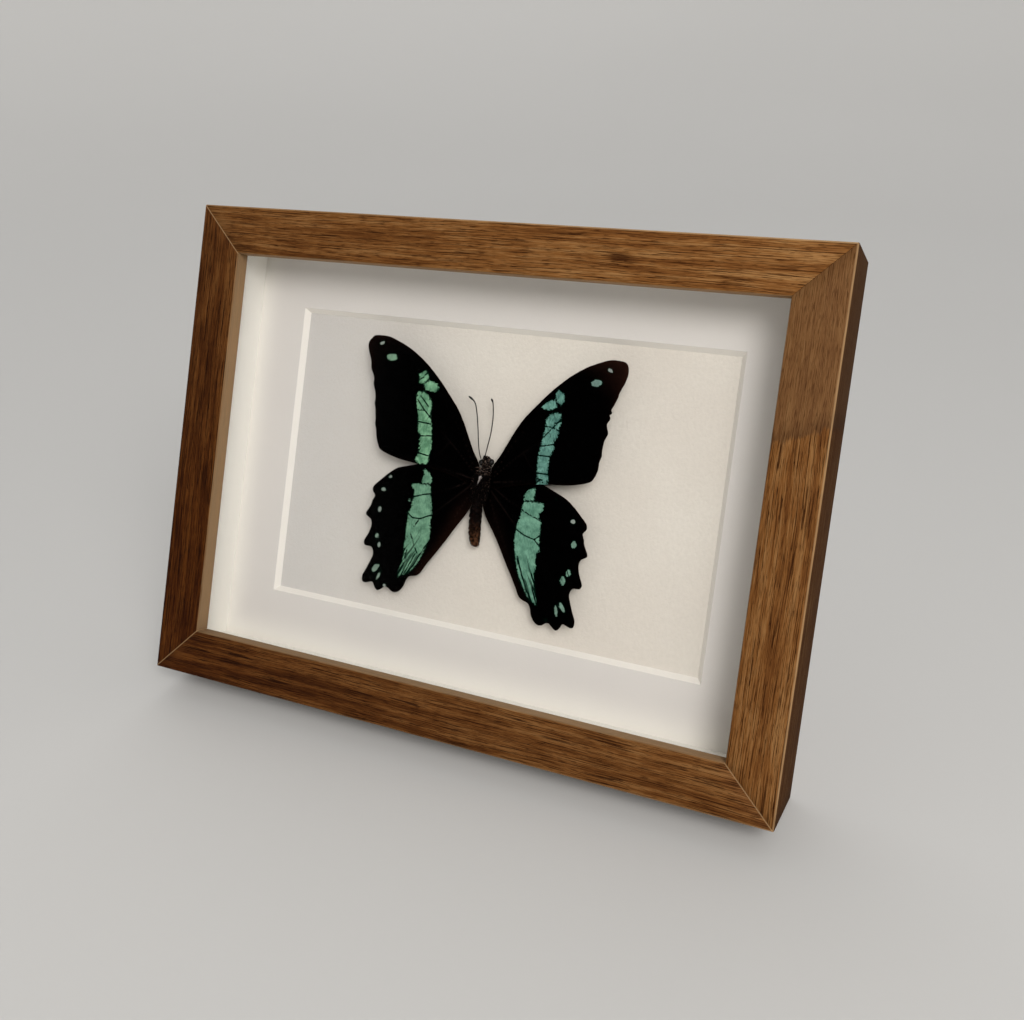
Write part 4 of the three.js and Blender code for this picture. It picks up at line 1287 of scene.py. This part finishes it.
def dome(centre, radii, tilt, rings=20, sides=28):
    """An egg-shaped dome, tilted about the line of sight, as (points, faces)."""
    heights = np.cos(np.linspace(math.pi * 0.985, math.pi * 0.015, rings))
    reach = np.sqrt(1 - heights**2)
    flat = np.zeros((rings, 3))
    flat[:, 2] = heights * radii[2]
    points, faces = tube(flat, reach * radii[0], reach * radii[1], sides)
    turn = np.array(Matrix.Rotation(math.radians(tilt), 3, "Y"))
    return points @ turn.T + np.array(centre), faces


eye_parts = [dome((x, BODY_DEPTH - 0.5, z), (0.82, 0.85, 0.95), math.copysign(10, x))
             for x, z in ((-1.85, 80.75), (1.35, 81.3))]
add_piece("eyes", *joined(eye_parts), eye_finish(), "body_hair")
palp_parts = [dome((x, BODY_DEPTH - 1.0, 82.3), (0.34, 0.36, 0.75), tilt)
              for x, tilt in ((-0.95, -12), (-0.15, 12))]
collar_parts = [dome((x, BODY_DEPTH - 1.15, 78.5), (0.42, 0.4, 0.3), 0) for x in (-0.95, -0.1, 0.6)]
add_piece("palps_and_collar", *joined(palp_parts + collar_parts), dried_skin, "body_hair")

# %% The antennae
ANTENNAE = {
    "left": [(-1.5, -0.2, 5.8), (-2.2, -0.4, 7.6), (-2.8, -0.6, 10.5), (-3.5, -0.8, 15),
             (-4.4, -1, 19.6), (-5.5, -1.1, 22.6), (-7.7, -1.2, 24.2)],
    "right": [(-0.3, -0.2, 6.4), (0, -0.4, 8.2), (0.5, -0.6, 11), (1, -0.8, 14.6), (1.1, -1, 19),
              (0.6, -1.1, 22.8), (-0.1, -1.2, 24.3)],
}


def antenna_finish():
    horn = Finish("antenna_horn")
    place = horn.place()
    bands = horn.noise(place, (0.5, 0.5, 2.4), detail=2)
    return horn.set(
        Base_Color=horn.mix(bands.rise(0.4, 0.6), (6, 4, 3), (24, 15, 12)),
        Roughness=0.45 + 0.2 * bands,
        Specular_IOR_Level=0.4,
    )


def antenna(hand, finish, rings=110, sides=10):
    route = curve_through(ANTENNAE[hand], steps=22)
    route = route[np.linspace(0, len(route) - 1, rings).astype(int)]
    route = route + (AXIS_X, BODY_DEPTH, WING_ROOT_Z)
    share = np.linspace(0, 1, rings)
    radius = 0.15 + 0.03 * share
    radius += 0.14 * np.exp(-(((share - 0.94) / 0.06) ** 2))
    radius *= 1 + 0.1 * np.sin(share * math.tau * 34)
    radius *= np.sqrt(np.clip((1.004 - share) / 0.02, 0.05, 1))
    heading = unit(np.gradient(route, axis=0))
    aside = unit(np.cross(heading, (0, 1, 0)))
    other = np.cross(heading, aside)
    points, faces = tube(np.zeros((rings, 3)), radius, radius, sides)
    local = points.reshape(rings, sides, 3)
    bent = route[:, None] + local[..., :1] * aside[:, None] + local[..., 1:2] * other[:, None]
    add_piece(f"antenna_{hand}_horn", bent.reshape(-1, 3), faces, finish, "body_hair",
              stands_for=[f"antenna_{hand}"])


antenna_horn = antenna_finish()
for hand in ANTENNAE:
    antenna(hand, antenna_horn)

# %% [markdown]
# ## The back: hardboard and plated steel
# The back is not on show, but it is what a hand meets. The panel and the strut are brown
# hardboard, pressed from wood fibre, with a flecked surface. The turn buttons, hinge and screws
# are sheet steel with a thin nickel plating. These pieces keep their CAD shapes. A bevel
# modifier rounds their edges so that they catch the light.

# %% Finishes for the back
def hardboard_finish(name, lean):
    board = Finish(name)
    place = board.place(lean)
    fleck = board.noise(place, (1.1, 3, 1.1), detail=5, roughness=0.7)
    strand = board.noise(place, (2.6, 2.6, 0.5), distortion=0.6)
    scuff = board.noise(place, (0.11, 0.11, 0.2), detail=4)
    body = board.ramp(
        0.75 * fleck + 0.25 * strand, (0.3, 56, 38, 27), (0.5, 84, 58, 40), (0.68, 112, 80, 56))
    return board.set(
        Base_Color=board.mix(scuff.rise(0.55, 0.8) * 0.2, body, (140, 110, 84)),
        Roughness=0.58 + 0.25 * fleck,
        Normal=board.relief(0.05 * fleck + 0.03 * strand),
        Specular_IOR_Level=0.3,
    )


def steel_finish():
    steel = Finish("plated_steel")
    place = steel.place()
    brushed = steel.noise(place, (0.7, 14, 14))
    stain = steel.noise(place, 0.25, detail=4)
    return steel.set(
        Base_Color=steel.mix(stain.rise(0.45, 0.7), (206, 200, 188), (168, 158, 142)),
        Metallic=1.0,
        Roughness=0.24 + 0.16 * brushed + 0.15 * stain.rise(0.5, 0.7),
        Normal=steel.relief(0.006 * brushed),
    )


STRUT_OPEN = math.radians(30)
hardboard = hardboard_finish("back_hardboard", LEAN)
strut_board = hardboard_finish("strut_hardboard", LEAN - STRUT_OPEN)
plated_steel = steel_finish()

# %% Put each finish on its CAD nodes
def dress(names, finish, bevel=0):
    """Gives CAD nodes a finish, and rounds their edges by so many millimetres."""
    for name in names:
        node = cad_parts[name]
        node.data.materials.clear()
        node.data.materials.append(finish.material)
        if bevel:
            node.modifiers.new("Join corners", "WELD").merge_threshold = 1e-6
            edge = node.modifiers.new("Rounded edges", "BEVEL")
            edge.width = bevel * MM
            edge.segments = 2
            edge.angle_limit = math.radians(40)
            edge.limit_method = "ANGLE"
    print(finish.material.name, "on", len(names), "CAD nodes")


hardware = [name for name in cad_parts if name.startswith((
    "turn_button", "button_screw", "hinge", "bracket_screw", "leaf_screw"))]
dress(["glass"], picture_glass)
dress(["mount_board"], rough_paper)
dress(["mounting_pad"], white_card)
dress(["back_panel"], hardboard, 0.3)
dress(["strut"], strut_board, 0.3)
dress(hardware, plated_steel, 0.12)

# %% [markdown]
# ## Floor, light and camera
# A studio sweep is a floor that curves up into a wall all round, so that no horizon shows. The
# main light is like a large window above and to the right, which lights the left and lower
# inner edges of the box and leaves soft shadow under its top and right edges. A small softbox
# in the same direction draws thin bright lines along the rounded edges. A weak light from
# behind shows the back, and the world fills in the rest.

# %% The studio floor
def floor_finish():
    floor = Finish("studio_floor")
    place = floor.place(0)
    grain = floor.noise(place, 0.5, detail=1)
    cloud = floor.noise(place, 0.0008, detail=1)
    return floor.set(
        Base_Color=floor.mix(cloud.rise(0.3, 0.7), (203, 202, 199), (205, 204, 201)),
        Roughness=0.75 + 0.1 * grain,
        Normal=floor.relief(0.02 * grain),
        Specular_IOR_Level=0.2,
    )


def studio_sweep(flat_radius=1400, cove=2800, height=1500, sides=128):
    """Four rings on the flat floor, and then rings that curve up into the wall."""
    turns = np.concatenate([np.zeros(4), np.linspace(0, math.pi / 2, 32)])
    radii = flat_radius + cove * np.sin(turns)
    radii[:4] *= (0.2, 0.4, 0.6, 0.8)
    up = height * (1 - np.cos(turns))
    points, faces = tube(np.outer(up, (0, 0, 1)), radii, radii, sides)
    mesh = bpy.data.meshes.new("studio_sweep")
    mesh.from_pydata((points * MM).tolist(), [], [face[::-1] for face in faces[:-1]])
    mesh.shade_smooth()
    mesh.materials.append(floor_finish().material)
    sweep = show("studio_sweep", mesh)


studio_sweep()

# %% The lights
AIM = Vector((0, -0.01, 0.075))


def lamp(name, kind, direction, power, tint, **settings):
    """A lamp that stands off in the given direction and shines back along it."""
    data = bpy.data.lights.new(name, kind)
    data.energy = power
    data.color = tint
    for setting, value in settings.items():
        setattr(data, setting, value)
    light = show(name, data)
    light.rotation_euler = (-Vector(direction)).to_track_quat("-Z", "Y").to_euler()
    return light


FROM_UPPER_RIGHT = Vector((0.52, -0.7, 0.54))
lamp("window", "SUN", FROM_UPPER_RIGHT, 1.6, (1, 0.985, 0.98), angle=math.radians(46))
key = lamp("key", "AREA", FROM_UPPER_RIGHT, 2.4, (1, 0.975, 0.95), shape="DISK", size=0.3)
key.location = AIM + 0.8 * FROM_UPPER_RIGHT
lamp("back_fill", "SUN", (-0.5, 0.75, 0.6), 0.7, (0.97, 0.98, 1), angle=math.radians(60))
world = bpy.data.worlds.new("studio_air")
world.use_nodes = True
air = world.node_tree.nodes["Background"].inputs
air["Color"].default_value = (1, 0.99, 0.98, 1)
air["Strength"].default_value = 0.38
bpy.context.scene.world = world
bpy.context.scene.view_settings.view_transform = "Standard"

# %% The camera
FRAME_PIXELS = (1024, 1020)
LENS = 37.054
SENSOR = 36
OPTICAL_ROW = 463.5
CAMERA_AT = (0.12803, -0.27242, 0.19030)
CAMERA_TILT = math.radians(69.786)
CAMERA_TURN = math.radians(23.914)

lens = bpy.data.cameras.new("camera")
lens.lens = LENS
lens.sensor_width = SENSOR
lens.shift_y = (OPTICAL_ROW - FRAME_PIXELS[1] / 2) / FRAME_PIXELS[0]
lens.clip_start = 0.01
camera = show("camera", lens)
camera.location = CAMERA_AT
camera.rotation_euler = Euler((CAMERA_TILT, 0, CAMERA_TURN))
bpy.context.scene.camera = camera
print("camera at", [round(v, 3) for v in camera.location], "with a", LENS, "mm lens")
